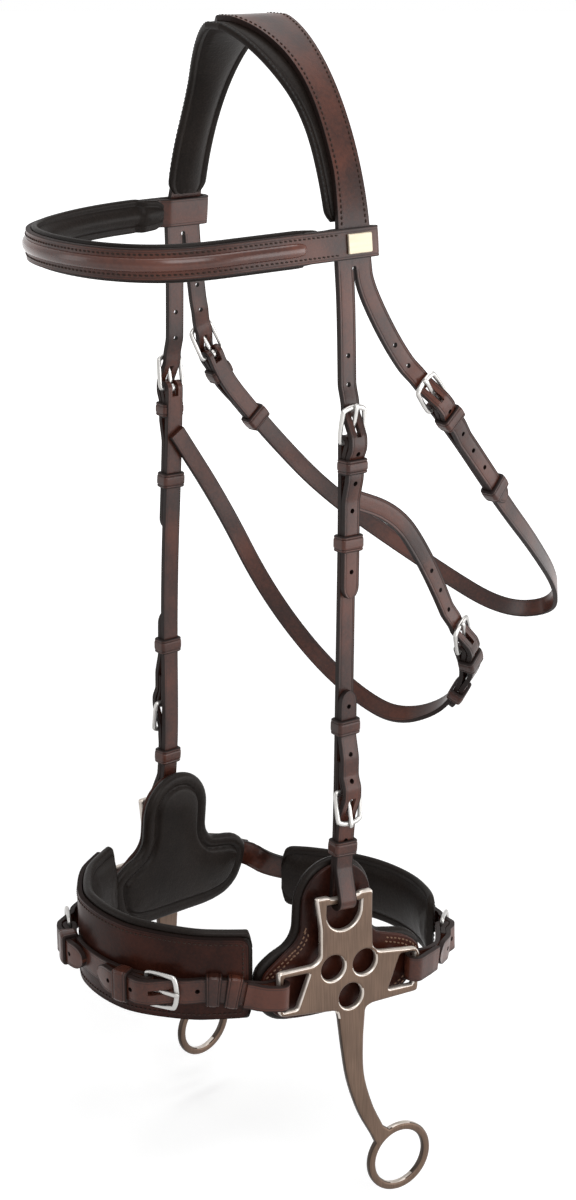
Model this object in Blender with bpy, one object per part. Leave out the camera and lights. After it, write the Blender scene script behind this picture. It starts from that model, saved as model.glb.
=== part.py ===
# Hackamore bridle: padded headpiece, browband, buckled cheekpieces, throatlatch,
# jowl strap, padded noseband and chin strap, and a pair of metal hackamore cheeks.
# Metres, +Z up. The horse faces -Y and its left side is +X.
# The origin is the middle of the headpiece padding's underside, at the poll.

import math

import bmesh
import bpy
import numpy as np

# Leather and clearances
GAP = 0.0003
LEATHER = 0.0028
CHAPE = 0.0016
CHAPE_GAP = 0.0004
KEEPER_LEATHER = 0.0016
STRAP_WIDTH = 0.0108
NOSE_STRAP_WIDTH = 0.0150
CURB_STRAP_WIDTH = 0.0150

# Headpiece: a superellipse across the head, more pointed than a round arch
CROWN_HALF_WIDTH = 0.0773
CROWN_SIDE_Z = -0.1135
CROWN_POWER = 1.7
CROWN_SIDE_Y = 0.0103
BILLET_SLIT = 0.0014
BROW_CROWN_WIDTH = 2 * STRAP_WIDTH + BILLET_SLIT
CROWN_WAIST = 0.0047
CROWN_WAIST_RISE = 0.0450
CROWN_FRONT = -0.0200
CROWN_FRONT_SHARE = 0.65
SPLIT_Z = -0.1180
POLL_PAD = 0.0050
POLL_PAD_REAR = 0.0005
POLL_PAD_SIDE = -0.0035
POLL_PAD_FRONT = -0.0250
POLL_PAD_FRONT_SHARE = 0.70
POLL_PAD_END = 0.0028
POLL_FLAT = 0.0120
ARCH_ROWS = 11

# Browband
BROW_FACE = 0.0160
BROW_DROP = 0.0030
BROW_RIDGE = 0.0075
BROW_PAD_HEIGHT = 0.0195
BROW_PAD = 0.0055
LOOP_ROOM = 0.0010
PLATE_LONG = 0.0160
PLATE_TALL = 0.0105
PLATE_THICK = 0.0012

# Buckles, all of one pattern in two widths
WIRE = 0.0013
BUCKLE_LENGTH = 0.0190
BUCKLE_SIDE = 0.0018
BUCKLE_BOW = 0.0030
FRONT_BAR_LIFT = 0.0025
TONGUE_WIDTH = 0.0024
TONGUE_THICK = 0.0018
TONGUE_TIP = 0.0022
EYE_WALL = 0.0012
PUNCH_WIDTH = 0.0034
PUNCH_NEAR = 0.0022
PUNCH_FAR = 0.0160
CHAPE_SLOT = 0.0044
TURN_BACK = 0.0180
FOLD_CLOSE = 0.0080
BILLET_RISE = 0.0110
KEEPER_AT = 0.0130
KEEPER_LENGTH = 0.0080
BAND_CORNER = 0.0003

# Hackamore cheeks
CHEEK_CENTRE = (0.0920, 0.0, -0.5200)
CHEEK_YAW = math.radians(7.0)
CHEEK_TILT = math.radians(-4.0)
CHEEK_LEAN = math.radians(1.7)
CHEEK_METAL = 0.0045
CHEEK_EDGE = 0.0007
BAR = 0.0040
TOP_BAR_E = -0.0065
TOP_BAR_Z = 0.0462
TOP_SLOT = 0.0114
TOP_SLOT_DEPTH = 0.0050
NECK_HALF = 0.0190
HORN = 0.0085
HORN_RISE = 0.0014
SIDE_BAR_E = 0.0465
ARM = SIDE_BAR_E + BAR / 2
SIDE_BAR_Z = -0.0054
SIDE_SLOT = 0.0135
SIDE_SLOT_HALF = 0.0104
SIDE_SLOT_SLANT = 0.0035
ROUND_HOLE = 0.0078
ROUND_HOLES = ((-0.0117, 0.0050), (0.0097, 0.0050), (0.0014, -0.0147))
RING_E = 0.0432
RING_Z = -0.1280
RING_OUTER = 0.0219
RING_INNER = 0.0170
BAR_FOLD = 0.0035

# Cheek shields
SHIELD_BACK = 0.0066
SHIELD_LEATHER = 0.0026
SHIELD_PAD = 0.0070
SHIELD_HALF = 0.0540
SHIELD_DOME = 0.0230
SHIELD_TOP = 0.0650
SHIELD_FOOT = -0.0265

# Noseband and chin pad
LOOP_HALF = 0.0042
NOSE_LOOPS = (0.0248, 0.0361)
END_FOLD_TAIL = 0.0180
END_FOLD_CLOSE = 0.0140
NOSE_GAP = 0.0006
NOSE_TOP_SIDE = -0.4875
NOSE_TOP_FRONT = -0.4840
NOSE_FOOT_SIDE = -0.5365
NOSE_FOOT_FRONT = -0.5380
NOSE_EASE = 0.50
NOSE_PAD = 0.0070
NOSE_PAD_PROUD = 0.0030
NOSE_STRAP_Z = -0.5170
NOSE_TIP = 0.0330
CHIN_TIP = 0.0380
NOSE_END_Y = -0.0605
CHIN_Z = -0.5400
CHIN_PAD_HEIGHT = 0.0420
CHIN_PAD = 0.0085

# Where the pieces sit along the straps, as heights on the near cheek
UPPER_HINGE_Z = -0.2090
LOWER_HINGE_Z = -0.4080
UPPER_TIP_Z = -0.2960
LOWER_TIP_Z = -0.3490
JOWL_NEAR_Z = -0.2400
JOWL_FAR_Z = -0.2350

# Distances from a buckle's hinge bar to its runner and to its billet's tip
UPPER_RUNNER = 0.0560
LOWER_RUNNER = 0.0380
FOOT_RUNNER = 0.0350
THROAT_RUNNER = 0.0780
THROAT_TIP = 0.0900
FAR_THROAT_RUNNER = 0.0520
FAR_THROAT_TIP = 0.0640
JOWL_RUNNER = 0.0430
JOWL_TIP = 0.0560

# Points beside which the buckles sit on curved straps
THROAT_BUCKLE = (0.0795, 0.0680, -0.1955)
FAR_THROAT_BUCKLE = (0.0796, 0.0330, -0.1930)
JOWL_BUCKLE = (0.0740, 0.0970, -0.3460)
NOSE_BUCKLE = (0.0385, -0.1030, NOSE_STRAP_Z)
CHIN_BUCKLE = (0.0660, 0.0920, CHIN_Z)
CHIN_PAD_ENDS = ((0.0540, 0.0980, CHIN_Z), (-0.0690, 0.0760, CHIN_Z))

LEFT, RIGHT = 1.0, -1.0
RUN_PITCH = 0.0005
STRAIGHT_PITCH = 0.0120
CURVED_PITCH = 0.0080
COLOURS = {
    "leather": ((0.060, 0.022, 0.014), 0.35, 0.0),
    "padding": ((0.020, 0.018, 0.017), 0.70, 0.0),
    "steel": ((0.62, 0.61, 0.58), 0.20, 1.0),
    "bronze": ((0.25, 0.16, 0.12), 0.35, 1.0),
    "plate": ((0.80, 0.72, 0.50), 0.25, 1.0),
}


# Scene and materials
def clear_scene():
    for thing in list(bpy.data.objects):
        bpy.data.objects.remove(thing, do_unlink=True)


def material(name, kind):
    colour, roughness, metallic = COLOURS[kind]
    made = bpy.data.materials.new(name)
    made.use_nodes = True
    shader = made.node_tree.nodes["Principled BSDF"]
    shader.inputs["Base Color"].default_value = (*colour, 1.0)
    shader.inputs["Roughness"].default_value = roughness
    shader.inputs["Metallic"].default_value = metallic
    return made


def add_object(name, verts, faces, kind, side=LEFT, smooth=False):
    """One closed piece. A right-hand piece is the left-hand one mirrored in X."""
    placed = [(side * x, y, z) for x, y, z in np.asarray(verts, float)]
    mesh = bpy.data.meshes.new(name)
    mesh.from_pydata(placed, [], [tuple(int(i) for i in f) for f in faces])
    shape = bmesh.new()
    shape.from_mesh(mesh)
    bmesh.ops.recalc_face_normals(shape, faces=shape.faces)
    shape.to_mesh(mesh)
    shape.free()
    made = bpy.data.objects.new(name, mesh)
    bpy.context.scene.collection.objects.link(made)
    mesh.materials.append(material(name, kind))
    if smooth:
        mesh.shade_smooth()
        mesh.set_sharp_from_angle(angle=math.radians(40.0))
    return made


def fuse(target, pieces):
    """Joins pieces that are sewn to the target into its one solid."""
    for piece in pieces:
        union = target.modifiers.new("union", "BOOLEAN")
        union.operation = "UNION"
        union.object = piece
        bpy.context.view_layer.update()
        graph = bpy.context.evaluated_depsgraph_get()
        joined = bpy.data.meshes.new_from_object(target.evaluated_get(graph))
        target.modifiers.remove(union)
        joined.name = target.name
        target.data = joined
        bpy.data.objects.remove(piece, do_unlink=True)


def set_origin(thing, point):
    """Moves the object's origin onto its joint's axis and leaves the shape in place."""
    shift = np.asarray(point, float)
    for vertex in thing.data.vertices:
        vertex.co = np.asarray(vertex.co) - shift
    thing.location = shift


# Runs: the lines that the straps follow
def unit(v):
    v = np.asarray(v, float)
    return v / np.linalg.norm(v)


class Run:
    """A strap's line through hand-picked corners, each cut by a parabola.

    A corner is (point, outward, cut). The stretches between cuts stay straight, so
    that buckles and keepers sit on flat leather. place(s, n, b) goes s along the
    line, n outward from the horse and b across the strap.
    """

    def __init__(self, corners, samples=12):
        points = [np.asarray(c[0], float) for c in corners]
        outs = [np.asarray(c[1], float) for c in corners]
        cuts = [c[2] if len(c) > 2 else 0.5 for c in corners]
        line, outward = [points[0]], [outs[0]]
        for i in range(1, len(points) - 1):
            before = points[i] + (points[i - 1] - points[i]) * cuts[i]
            after = points[i] + (points[i + 1] - points[i]) * cuts[i]
            out_before = outs[i] + (outs[i - 1] - outs[i]) * cuts[i]
            out_after = outs[i] + (outs[i + 1] - outs[i]) * cuts[i]
            for t in np.linspace(0.0, 1.0, samples):
                w = ((1 - t) ** 2, 2 * t * (1 - t), t * t)
                line.append(w[0] * before + w[1] * points[i] + w[2] * after)
                outward.append(w[0] * out_before + w[1] * outs[i] + w[2] * out_after)
        line.append(points[-1])
        outward.append(outs[-1])
        line, outward = np.array(line), np.array(outward)
        step = np.linalg.norm(np.diff(line, axis=0), axis=1)
        keep = np.concatenate([[True], step > 1e-7])
        line, outward = line[keep], outward[keep]
        travel = np.concatenate([[0.0], np.cumsum(np.linalg.norm(np.diff(line, axis=0), axis=1))])
        self.length = float(travel[-1])
        self.s = np.linspace(0.0, self.length, int(self.length / RUN_PITCH) + 2)
        self.line = np.stack([np.interp(self.s, travel, line[:, k]) for k in range(3)], axis=1)
        self.outward = np.stack([np.interp(self.s, travel, outward[:, k]) for k in range(3)],
                                axis=1)
        along = np.gradient(self.line, self.s, axis=0)
        self.along = along / np.linalg.norm(along, axis=1)[:, None]

    def frame(self, s):
        """Point, along, outward and across at s; straight on beyond both ends."""
        inside = min(max(s, 0.0), self.length)
        point = np.array([np.interp(inside, self.s, self.line[:, k]) for k in range(3)])
        along = unit([np.interp(inside, self.s, self.along[:, k]) for k in range(3)])
        out = np.array([np.interp(inside, self.s, self.outward[:, k]) for k in range(3)])
        out = unit(out - along * (out @ along))
        return point + along * (s - inside), along, out, np.cross(along, out)

    def place(self, s, n, b):
        point, _, out, across = self.frame(s)
        return point + out * n + across * b

    def upright(self, s, n, z):
        """A point at height z, n outward on the level, for pieces that stand upright."""
        point, _, out, _ = self.frame(s)
        level = unit((out[0], out[1], 0.0))
        return np.array([point[0] + level[0] * n, point[1] + level[1] * n, z])

    def nearest(self, point):
        """The distance along the run of the place nearest to a point."""
        apart = np.linalg.norm(self.line - np.asarray(point, float), axis=1)
        return float(self.s[int(np.argmin(apart))])

    def at_height(self, z):
        """The distance along the run's first falling stretch where it reaches a height."""
        last = int(np.argmin(self.line[:, 2])) + 1
        return float(np.interp(-z, -self.line[:last, 2], self.s[:last]))

    def stations(self, start, end, pitch):
        count = max(2, int(math.ceil(abs(end - start) / pitch)) + 1)
        return np.linspace(start, end, count)


# Solids on a run
def slab(upper, lower, gaps=()):
    """A sheet solid between two grids of points, less the cells listed in gaps.

    A row keeps only its two ends and the points near a gap, because the leather is
    straight across between them.
    """
    rows, columns = len(upper), len(upper[0])
    verts = [p for row in upper for p in row] + [p for row in lower for p in row]
    below = rows * columns
    gaps = set(gaps)

    def is_leather(i, j):
        return 0 <= i < rows - 1 and (i, j) not in gaps

    def kept(i, start, end):
        """A row's points that are used between two columns."""
        inner = [j for j in range(start + 1, end)
                 if any((k, c) in gaps for k in range(i - 2, i + 2) for c in (j - 1, j))]
        return [i * columns + j for j in [start] + inner + [end]]

    faces = []
    for i in range(rows - 1):
        solid = [j for j in range(columns - 1) if is_leather(i, j)]
        starts = [j for j in solid if j - 1 not in solid]
        ends = [j + 1 for j in solid if j + 1 not in solid]
        for start, end in zip(starts, ends):
            near, far = kept(i, start, end), kept(i + 1, start, end)
            if len(near) == len(far):
                cells = list(zip(near, near[1:], far[1:], far))
            else:
                cells = [tuple(near + far[::-1])]
            faces += cells
            faces += [tuple(v + below for v in cell[::-1]) for cell in cells]
            faces += [(p, q, q + below, p + below) for p, q in ((near[0], far[0]),
                                                                (near[-1], far[-1]))]
            for row, beside in ((near, i - 1), (far, i + 1)):
                for p, q in zip(row, row[1:]):
                    if not is_leather(beside, p % columns):
                        faces.append((p, q, q + below, p + below))
    used = sorted({v for face in faces for v in face})
    order = {v: k for k, v in enumerate(used)}
    return [verts[v] for v in used], [tuple(order[v] for v in face) for face in faces]


def strap_stations(path, punched, tip):
    """Distances along a path that a strap needs, and the path's own distances."""
    step = np.linalg.norm(np.diff(path, axis=0), axis=1)
    travel = np.concatenate([[0.0], np.cumsum(step)])
    extra = [edge for start, end, _ in punched for edge in (start, end)]
    if tip:
        extra += [travel[-1] - tip * k for k in (1.0, 0.6, 0.3, 0.1)]
    where = np.unique(np.round(np.concatenate([travel, extra]), 6))
    apart = np.concatenate([[True], np.diff(where) > 2e-5])
    return where[apart], travel


def strap_grid(run, path, width, thick, punched=(), tip=0.0, where=None):
    """Upper and lower points of a strap, four columns wide, and its punched cells."""
    path = np.asarray(path, float)
    found, travel = strap_stations(path, punched, tip)
    where = found if where is None else where
    spots = np.stack([np.interp(where, travel, path[:, k]) for k in range(2)], axis=1)
    leg = np.diff(spots, axis=0)
    leg = leg / np.linalg.norm(leg, axis=1)[:, None]
    turned = np.concatenate([leg[:1], leg[:-1] + leg[1:], leg[-1:]])
    turned = turned / np.linalg.norm(turned, axis=1)[:, None]
    mitre = np.concatenate([[1.0], np.sum(turned[1:-1] * leg[1:], axis=1), [1.0]])
    slot = punched[0][2] if punched else width / 3
    upper, lower = [], []
    for i, here in enumerate(where):
        shrink = 1.0
        if tip:
            left = min(1.0, max(0.0, (travel[-1] - here) / tip))
            shrink = math.sqrt(0.10 + 0.90 * left * (2.0 - left))
        across = [shrink * b for b in (-width / 2, -slot / 2, slot / 2, width / 2)]
        rise = np.array([-turned[i][1], turned[i][0]]) * thick / 2 / max(mitre[i], 0.5)
        for sign, rows in ((1, upper), (-1, lower)):
            s, n = spots[i] + sign * rise
            rows.append([run.place(s, n, b) for b in across])
    middle = (where[1:] + where[:-1]) / 2
    gaps = [(i, 1) for i, m in enumerate(middle)
            if any(start < m < end for start, end, _ in punched)]
    return upper, lower, gaps


def ribbon(run, path, width, thick=LEATHER, punched=(), tip=0.0):
    """A strap of one leather along a path of (s, n) points.

    punched holds (start, end, width) slots along the path, and tip is the length
    over which the far end narrows to its rounded point.
    """
    return slab(*strap_grid(run, path, width, thick, punched, tip))


def sweep(run, stations, section):
    """A solid whose section, a list of (n, b) points, follows the run."""
    return loft([[run.place(s, n, b) for n, b in section(s)] for s in stations])


def upright_sweep(run, stations, section):
    """The same with sections that stand upright; their points are (n, height)."""
    return loft([[run.upright(s, n, z) for n, z in section(s)] for s in stations])


def loft(rings, closed=False):
    """Skins rings of equal length; a closed loft joins its last ring to its first."""
    count = len(rings[0])
    verts = [p for ring in rings for p in ring]
    faces = []
    last = len(rings) if closed else len(rings) - 1
    for i in range(last):
        a, b = i * count, ((i + 1) % len(rings)) * count
        for j in range(count):
            k = (j + 1) % count
            faces.append((a + j, a + k, b + k, b + j))
    if not closed:
        faces.append(tuple(range(count)))
        faces.append(tuple(range(len(verts) - 1, len(verts) - count - 1, -1)))
    return verts, faces


def wire(points, radius, ups, sides=6, closed=True):
    """A round bar through points; ups are directions square to the bar there."""
    points = np.asarray(points, float)
    count = len(points)
    rings = []
    for i in range(count):
        if closed:
            ahead, behind = points[(i + 1) % count], points[i - 1]
        else:
            ahead, behind = points[min(i + 1, count - 1)], points[max(i - 1, 0)]
        along = unit(ahead - behind)
        up = unit(ups[i] - along * (ups[i] @ along))
        side = np.cross(along, up)
        turn = [2 * math.pi * k / sides for k in range(sides)]
        rings.append([points[i] + radius * (math.cos(t) * up + math.sin(t) * side)
                      for t in turn])
    return loft(rings, closed)


def arc(centre, radius, start, end, count):
    """Points of an arc in a flat plane, angles in degrees."""
    turn = np.radians(np.linspace(start, end, count))
    return [(centre[0] + radius * math.cos(t), centre[1] + radius * math.sin(t))
            for t in turn]


def rounded_box(low, high, radius, count=3):
    """A rectangle's outline with round corners, as (n, b) or (x, y) points."""
    (x0, y0), (x1, y1) = low, high
    return (arc((x1 - radius, y0 + radius), radius, -90, 0, count)
            + arc((x1 - radius, y1 - radius), radius, 0, 90, count)
            + arc((x0 + radius, y1 - radius), radius, 90, 180, count)
            + arc((x0 + radius, y0 + radius), radius, 180, 270, count))


def band(run, start, end, low, high, wall, corner=BAND_CORNER):
    """A closed leather loop round a strap: its hole spans low to high as (n, b)."""
    inner = rounded_box(low, high, corner, 2)
    outer = rounded_box((low[0] - wall, low[1] - wall), (high[0] + wall, high[1] + wall),
                        corner + wall, 2)
    rings = []
    for s, loop in ((start, inner), (start, outer), (end, outer), (end, inner)):
        rings.append([run.place(s, n, b) for n, b in loop])
    return loft(rings, closed=True)


# Buckles: a bar, a bowed frame and a tongue
class Buckle:
    """A buckle on a run. way is +1 if the billet travels with s, else -1.

    x counts from the hinge bar towards the bowed front bar, against the billet.
    base is the outward height of the hinge bar's centre.
    """

    def __init__(self, run, s, way, base, width, under=LEATHER):
        self.run, self.s, self.way, self.base = run, s, way, base
        self.width, self.under = width, under
        self.half = width / 2 + 0.0008 + WIRE
        self.fold = WIRE + GAP + under / 2
        self.fold_top = base + WIRE + GAP + under
        self.origin, self.along, self.out, self.across = run.frame(s)

    def point(self, x, n, b):
        return self.origin - self.way * self.along * x + self.out * n + self.across * b

    def pivot(self):
        return self.point(0.0, self.base, 0.0)

    def axis(self):
        """The tongue's hinge line; a positive turn lifts the tip outward."""
        return -self.way * self.across

    def frame_mesh(self):
        half, corner = self.half, BUCKLE_SIDE
        lift = FRONT_BAR_LIFT / BUCKLE_LENGTH
        flat = [(0.0, -half), (0.0, -half / 3), (0.0, half / 3), (0.0, half)]
        bow = []
        for t in np.linspace(-70, 70, 7):
            x = BUCKLE_LENGTH - BUCKLE_BOW + BUCKLE_BOW * math.cos(math.radians(t))
            bow.append((x, half * math.sin(math.radians(t))))
        side = [(BUCKLE_LENGTH * 0.35, half + corner / 3), (BUCKLE_LENGTH * 0.70, half)]
        loop = flat + side + bow[::-1] + [(x, -b) for x, b in side[::-1]]
        spots = [self.point(x, self.base + lift * x, b) for x, b in loop]
        return wire(spots, WIRE, [self.out] * len(spots))

    def tongue_mesh(self):
        """Eye round the hinge bar and a flat pin that ends just past the front bar."""
        inner, outer = WIRE + GAP, WIRE + GAP + EYE_WALL
        rest = self.base + FRONT_BAR_LIFT + WIRE + GAP + TONGUE_THICK / 2
        slope = (rest - self.base) / BUCKLE_LENGTH
        start = outer * 0.9
        pin = [(start, 0.0), (BUCKLE_LENGTH * 0.5, 0.0), (BUCKLE_LENGTH, 0.0),
               (BUCKLE_LENGTH + TONGUE_TIP, -0.0003)]
        upper = [(x, self.base + slope * x + TONGUE_THICK / 2 + d) for x, d in pin]
        lower = [(x, self.base + slope * x - TONGUE_THICK / 2 + d) for x, d in pin[:3]]
        first = math.degrees(math.asin(TONGUE_THICK / 2 / outer))
        lean = math.degrees(math.atan(slope))
        eye = arc((0.0, self.base), outer, lean + first + 8, lean - first - 8 + 360, 9)
        outline = eye + lower + upper[::-1]
        hole = arc((0.0, self.base), inner, 0, 324, 10)
        return self.slab(outline, hole, TONGUE_WIDTH)

    def slab(self, outline, hole, width):
        """Outline less hole in the (x, n) plane, width thick across the strap."""
        curve = bpy.data.curves.new("slab", "CURVE")
        curve.dimensions = "2D"
        curve.fill_mode = "BOTH"
        curve.extrude = width / 2
        for loop in (outline, hole):
            add_loop(curve, loop)
        flat = bpy.data.objects.new("slab", curve)
        bpy.context.scene.collection.objects.link(flat)
        verts, faces = curve_solid(flat)
        return [self.point(x, n, b) for x, n, b in verts], faces


def add_loop(curve, points):
    line = curve.splines.new("POLY")
    line.points.add(len(points) - 1)
    for spot, (x, y) in zip(line.points, points):
        spot.co = (x, y, 0.0, 1.0)
    line.use_cyclic_u = True


def curve_solid(thing):
    """Vertices and faces of a filled curve, welded shut; the curve is removed."""
    bpy.context.view_layer.update()
    graph = bpy.context.evaluated_depsgraph_get()
    mesh = bpy.data.meshes.new_from_object(thing.evaluated_get(graph))
    shape = bmesh.new()
    shape.from_mesh(mesh)
    bmesh.ops.remove_doubles(shape, verts=shape.verts, dist=1e-6)
    shape.verts.index_update()
    verts = [tuple(v.co) for v in shape.verts]
    faces = [tuple(v.index for v in f.verts) for f in shape.faces]
    shape.free()
    bpy.data.objects.remove(thing, do_unlink=True)
    bpy.data.meshes.remove(mesh)
    return verts, faces


def fold_path(buckle, tail):
    """Path of a strap that wraps the hinge bar and turns back on itself.

    It starts tail away on the inner layer, which lies one fold below the bar.
    """
    s, way, base, fold = buckle.s, buckle.way, buckle.base, buckle.fold
    path = [(s + way * tail, base - fold)]
    for t in np.linspace(-90, 90, 9):
        x = fold * math.cos(math.radians(t))
        path.append((s - way * x, base + fold * math.sin(math.radians(t))))
    close = buckle.under + GAP
    path.append((s + way * FOLD_CLOSE, base - fold + close))
    path.append((s + way * TURN_BACK, base - fold + close))
    return path


def billet_path(buckle, before, after, rest):
    """A billet under the front bar, over the hinge fold and on down its strap.

    before and after are distances from the hinge bar, against and with the
    billet; rest is its height before the buckle.
    """
    s, way = buckle.s, buckle.way
    half = LEATHER / 2
    under_front = buckle.base + FRONT_BAR_LIFT - WIRE - GAP - half
    over_fold = buckle.fold_top + GAP + half
    close = buckle.base - buckle.fold + buckle.under * 1.5 + 2 * GAP + half
    shape = [(-before, rest), (-BUCKLE_LENGTH - BILLET_RISE, rest),
             (-BUCKLE_LENGTH - 0.0020, under_front), (-BUCKLE_LENGTH + 0.0030, under_front),
             (-0.0030, over_fold), (0.0030, over_fold),
             (FOLD_CLOSE + 0.0010, close), (TURN_BACK + 0.0020, close),
             (TURN_BACK + 0.0140, LEATHER + GAP), (after, LEATHER + GAP)]
    shape = [p for p in shape if -before <= p[0] <= after]
    return [(s + way * x, n) for x, n in shape]


def punch(path, buckle):
    """The slot for the tongue, as a stretch of the path's own length.

    Only the path's last pass by the buckle counts: the layer with the free tip.
    """
    path = np.asarray(path, float)
    travel = np.concatenate([[0.0], np.cumsum(np.linalg.norm(np.diff(path, axis=0), axis=1))])
    x = (path[:, 0] - buckle.s) * buckle.way
    first = int(np.argmin(x))
    ends = np.interp([-PUNCH_FAR, -PUNCH_NEAR], x[first:], travel[first:])
    return (ends[0], ends[1], PUNCH_WIDTH)


def chape_slot(path, buckle):
    """The slot in the fold that the tongue's eye turns in."""
    path = np.asarray(path, float)
    travel = np.concatenate([[0.0], np.cumsum(np.linalg.norm(np.diff(path, axis=0), axis=1))])
    apart = np.hypot(path[:, 0] - buckle.s + buckle.way * buckle.fold, path[:, 1] - buckle.base)
    nose = int(np.argmin(apart))
    reach = math.pi / 2 * buckle.fold + 0.0042
    return (travel[nose] - reach, travel[nose] + reach, CHAPE_SLOT)


def sampled(path, pitch=STRAIGHT_PITCH):
    """Adds points to long straight stretches so that a ribbon follows its run."""
    out = [path[0]]
    for a, b in zip(path[:-1], path[1:]):
        count = max(1, int(math.ceil(math.dist(a, b) / pitch)))
        for k in range(1, count + 1):
            out.append((a[0] + (b[0] - a[0]) * k / count, a[1] + (b[1] - a[1]) * k / count))
    return out


def add_buckle(name, buckle, side=LEFT):
    verts, faces = buckle.frame_mesh()
    add_object("buckle_" + name, verts, faces, "steel", side, smooth=True)
    verts, faces = buckle.tongue_mesh()
    made = add_object("tongue_" + name, verts, faces, "steel", side)
    pivot = buckle.pivot()
    set_origin(made, (side * pivot[0], pivot[1], pivot[2]))


def add_runner(name, run, s, top, width=STRAP_WIDTH, foot=-LEATHER / 2, side=LEFT,
               length=0.0090):
    """A leather runner that slides on the straps it holds together."""
    low = (foot - GAP, -width / 2 - 0.0004)
    high = (top + GAP, width / 2 + 0.0004)
    verts, faces = band(run, s - length / 2, s + length / 2, low, high, KEEPER_LEATHER)
    add_object("runner_" + name, verts, faces, "leather", side)


def fixed_keeper(run, s, top, width, side=LEFT, foot=0.0009):
    """A keeper whose inner wall is sewn into the strap below; returned for fusing."""
    low, high = (foot, -width / 2 - GAP), (top + GAP, width / 2 + GAP)
    ends = (s - KEEPER_LENGTH / 2, s + KEEPER_LENGTH / 2)
    verts, faces = band(run, *ends, low, high, KEEPER_LEATHER)
    return add_object("keeper", verts, faces, "leather", side)


# Routes, left side, as corner points in metres, their outward way and their cut
OUT_LEFT = (1.0, 0.0, 0.0)
BILLET_OFF = (BROW_CROWN_WIDTH - STRAP_WIDTH) / 2
CHEEK_ROUTE = [
    ((CROWN_HALF_WIDTH, CROWN_SIDE_Y - BILLET_OFF, CROWN_SIDE_Z), OUT_LEFT),
    ((0.0783, 0.0055, -0.1400), OUT_LEFT),
    ((0.0812, 0.0050, -0.2350), OUT_LEFT),
    ((0.0845, 0.0012, -0.3350), OUT_LEFT),
]
THROAT_ROUTE = [
    ((CROWN_HALF_WIDTH, CROWN_SIDE_Y + BILLET_OFF, CROWN_SIDE_Z), OUT_LEFT),
    ((0.0780, 0.0178, -0.1280), OUT_LEFT),
    ((0.0797, 0.0370, -0.1620), OUT_LEFT),
    ((0.0800, 0.0565, -0.1850), OUT_LEFT, 0.30),
    ((0.0790, 0.0860, -0.2175), OUT_LEFT, 0.30),
    ((0.0740, 0.1280, -0.2665), (0.97, 0.25, 0.0)),
    ((0.0600, 0.1680, -0.3020), (0.85, 0.50, 0.0)),
    ((0.0340, 0.2160, -0.3430), (0.60, 0.80, -0.1)),
    ((0.0080, 0.2390, -0.3700), (0.10, 0.95, -0.3)),
    ((-0.0140, 0.2160, -0.3730), (-0.50, 0.80, -0.4)),
    ((-0.0380, 0.1800, -0.3450), (-0.75, 0.60, -0.3)),
    ((-0.0660, 0.1130, -0.2900), (-0.95, 0.30, -0.1)),
    ((-0.0775, 0.0760, -0.2480), (-1.0, 0.0, 0.0)),
    ((-0.0795, 0.0410, -0.2070), (-1.0, 0.0, 0.0), 0.30),
    ((-0.0797, 0.0235, -0.1660), (-1.0, 0.0, 0.0), 0.30),
    ((-0.0780, 0.0178, -0.1280), (-1.0, 0.0, 0.0)),
    ((-CROWN_HALF_WIDTH, CROWN_SIDE_Y + BILLET_OFF, CROWN_SIDE_Z), (-1.0, 0.0, 0.0)),
]
JOWL_ROUTE = [
    ((0.0786, 0.0420, -0.2560), OUT_LEFT),
    ((0.0805, 0.0620, -0.2850), OUT_LEFT),
    ((0.0795, 0.0800, -0.3180), (0.95, 0.30, 0.0), 0.35),
    ((0.0690, 0.1090, -0.3660), (0.95, 0.30, 0.0), 0.30),
    ((0.0480, 0.1120, -0.3960), (0.60, 0.60, -0.5)),
    ((0.0200, 0.0990, -0.4100), (0.25, 0.75, -0.6)),
    ((-0.0130, 0.0960, -0.4060), (-0.20, 0.75, -0.6)),
    ((-0.0420, 0.0820, -0.3830), (-0.60, 0.65, -0.45)),
    ((-0.0650, 0.0600, -0.3400), (-0.90, 0.35, -0.2)),
    ((-0.0786, 0.0380, -0.2855), (-1.0, 0.10, 0.0)),
]
BROW_ROUTE = [(0.0500, None), (-0.0400, None), (-0.0960, 0.0665), (-0.1240, 0.0300)]
NOSE_ROUTE = [(0.0690, -0.0735, 0.40), (0.0580, -0.0885, 0.25), (0.0300, -0.1085, 0.25),
              (0.0100, -0.1130, 0.5)]
CHIN_ROUTE = [(0.0740, 0.0850, 0.35), (0.0480, 0.1085, 0.35), (0.0180, 0.1180, 0.5)]
FAR_CHIN_ROUTE = [(0.0200, 0.1130, 0.5), (0.0560, 0.0900, 0.35), (0.0745, 0.0690, 0.35)]


class CheekFrame:
    """The hackamore cheek's own frame: e rearward, z up its neck, n outward."""

    def __init__(self):
        self.centre = np.array(CHEEK_CENTRE)
        level = np.array([math.sin(CHEEK_YAW), math.cos(CHEEK_YAW), 0.0])
        facing = np.array([math.cos(CHEEK_YAW), -math.sin(CHEEK_YAW), 0.0])
        up = np.array([0.0, 0.0, 1.0])
        lean = up * math.cos(CHEEK_LEAN) - facing * math.sin(CHEEK_LEAN)
        self.n = facing * math.cos(CHEEK_LEAN) + up * math.sin(CHEEK_LEAN)
        self.e = level * math.cos(CHEEK_TILT) + lean * math.sin(CHEEK_TILT)
        self.z = lean * math.cos(CHEEK_TILT) - level * math.sin(CHEEK_TILT)

    def point(self, e, z, n=0.0):
        return self.centre + self.e * e + self.z * z + self.n * n


CHEEK = CheekFrame()
HALF = LEATHER / 2
FOLD = BAR_FOLD + HALF


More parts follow.
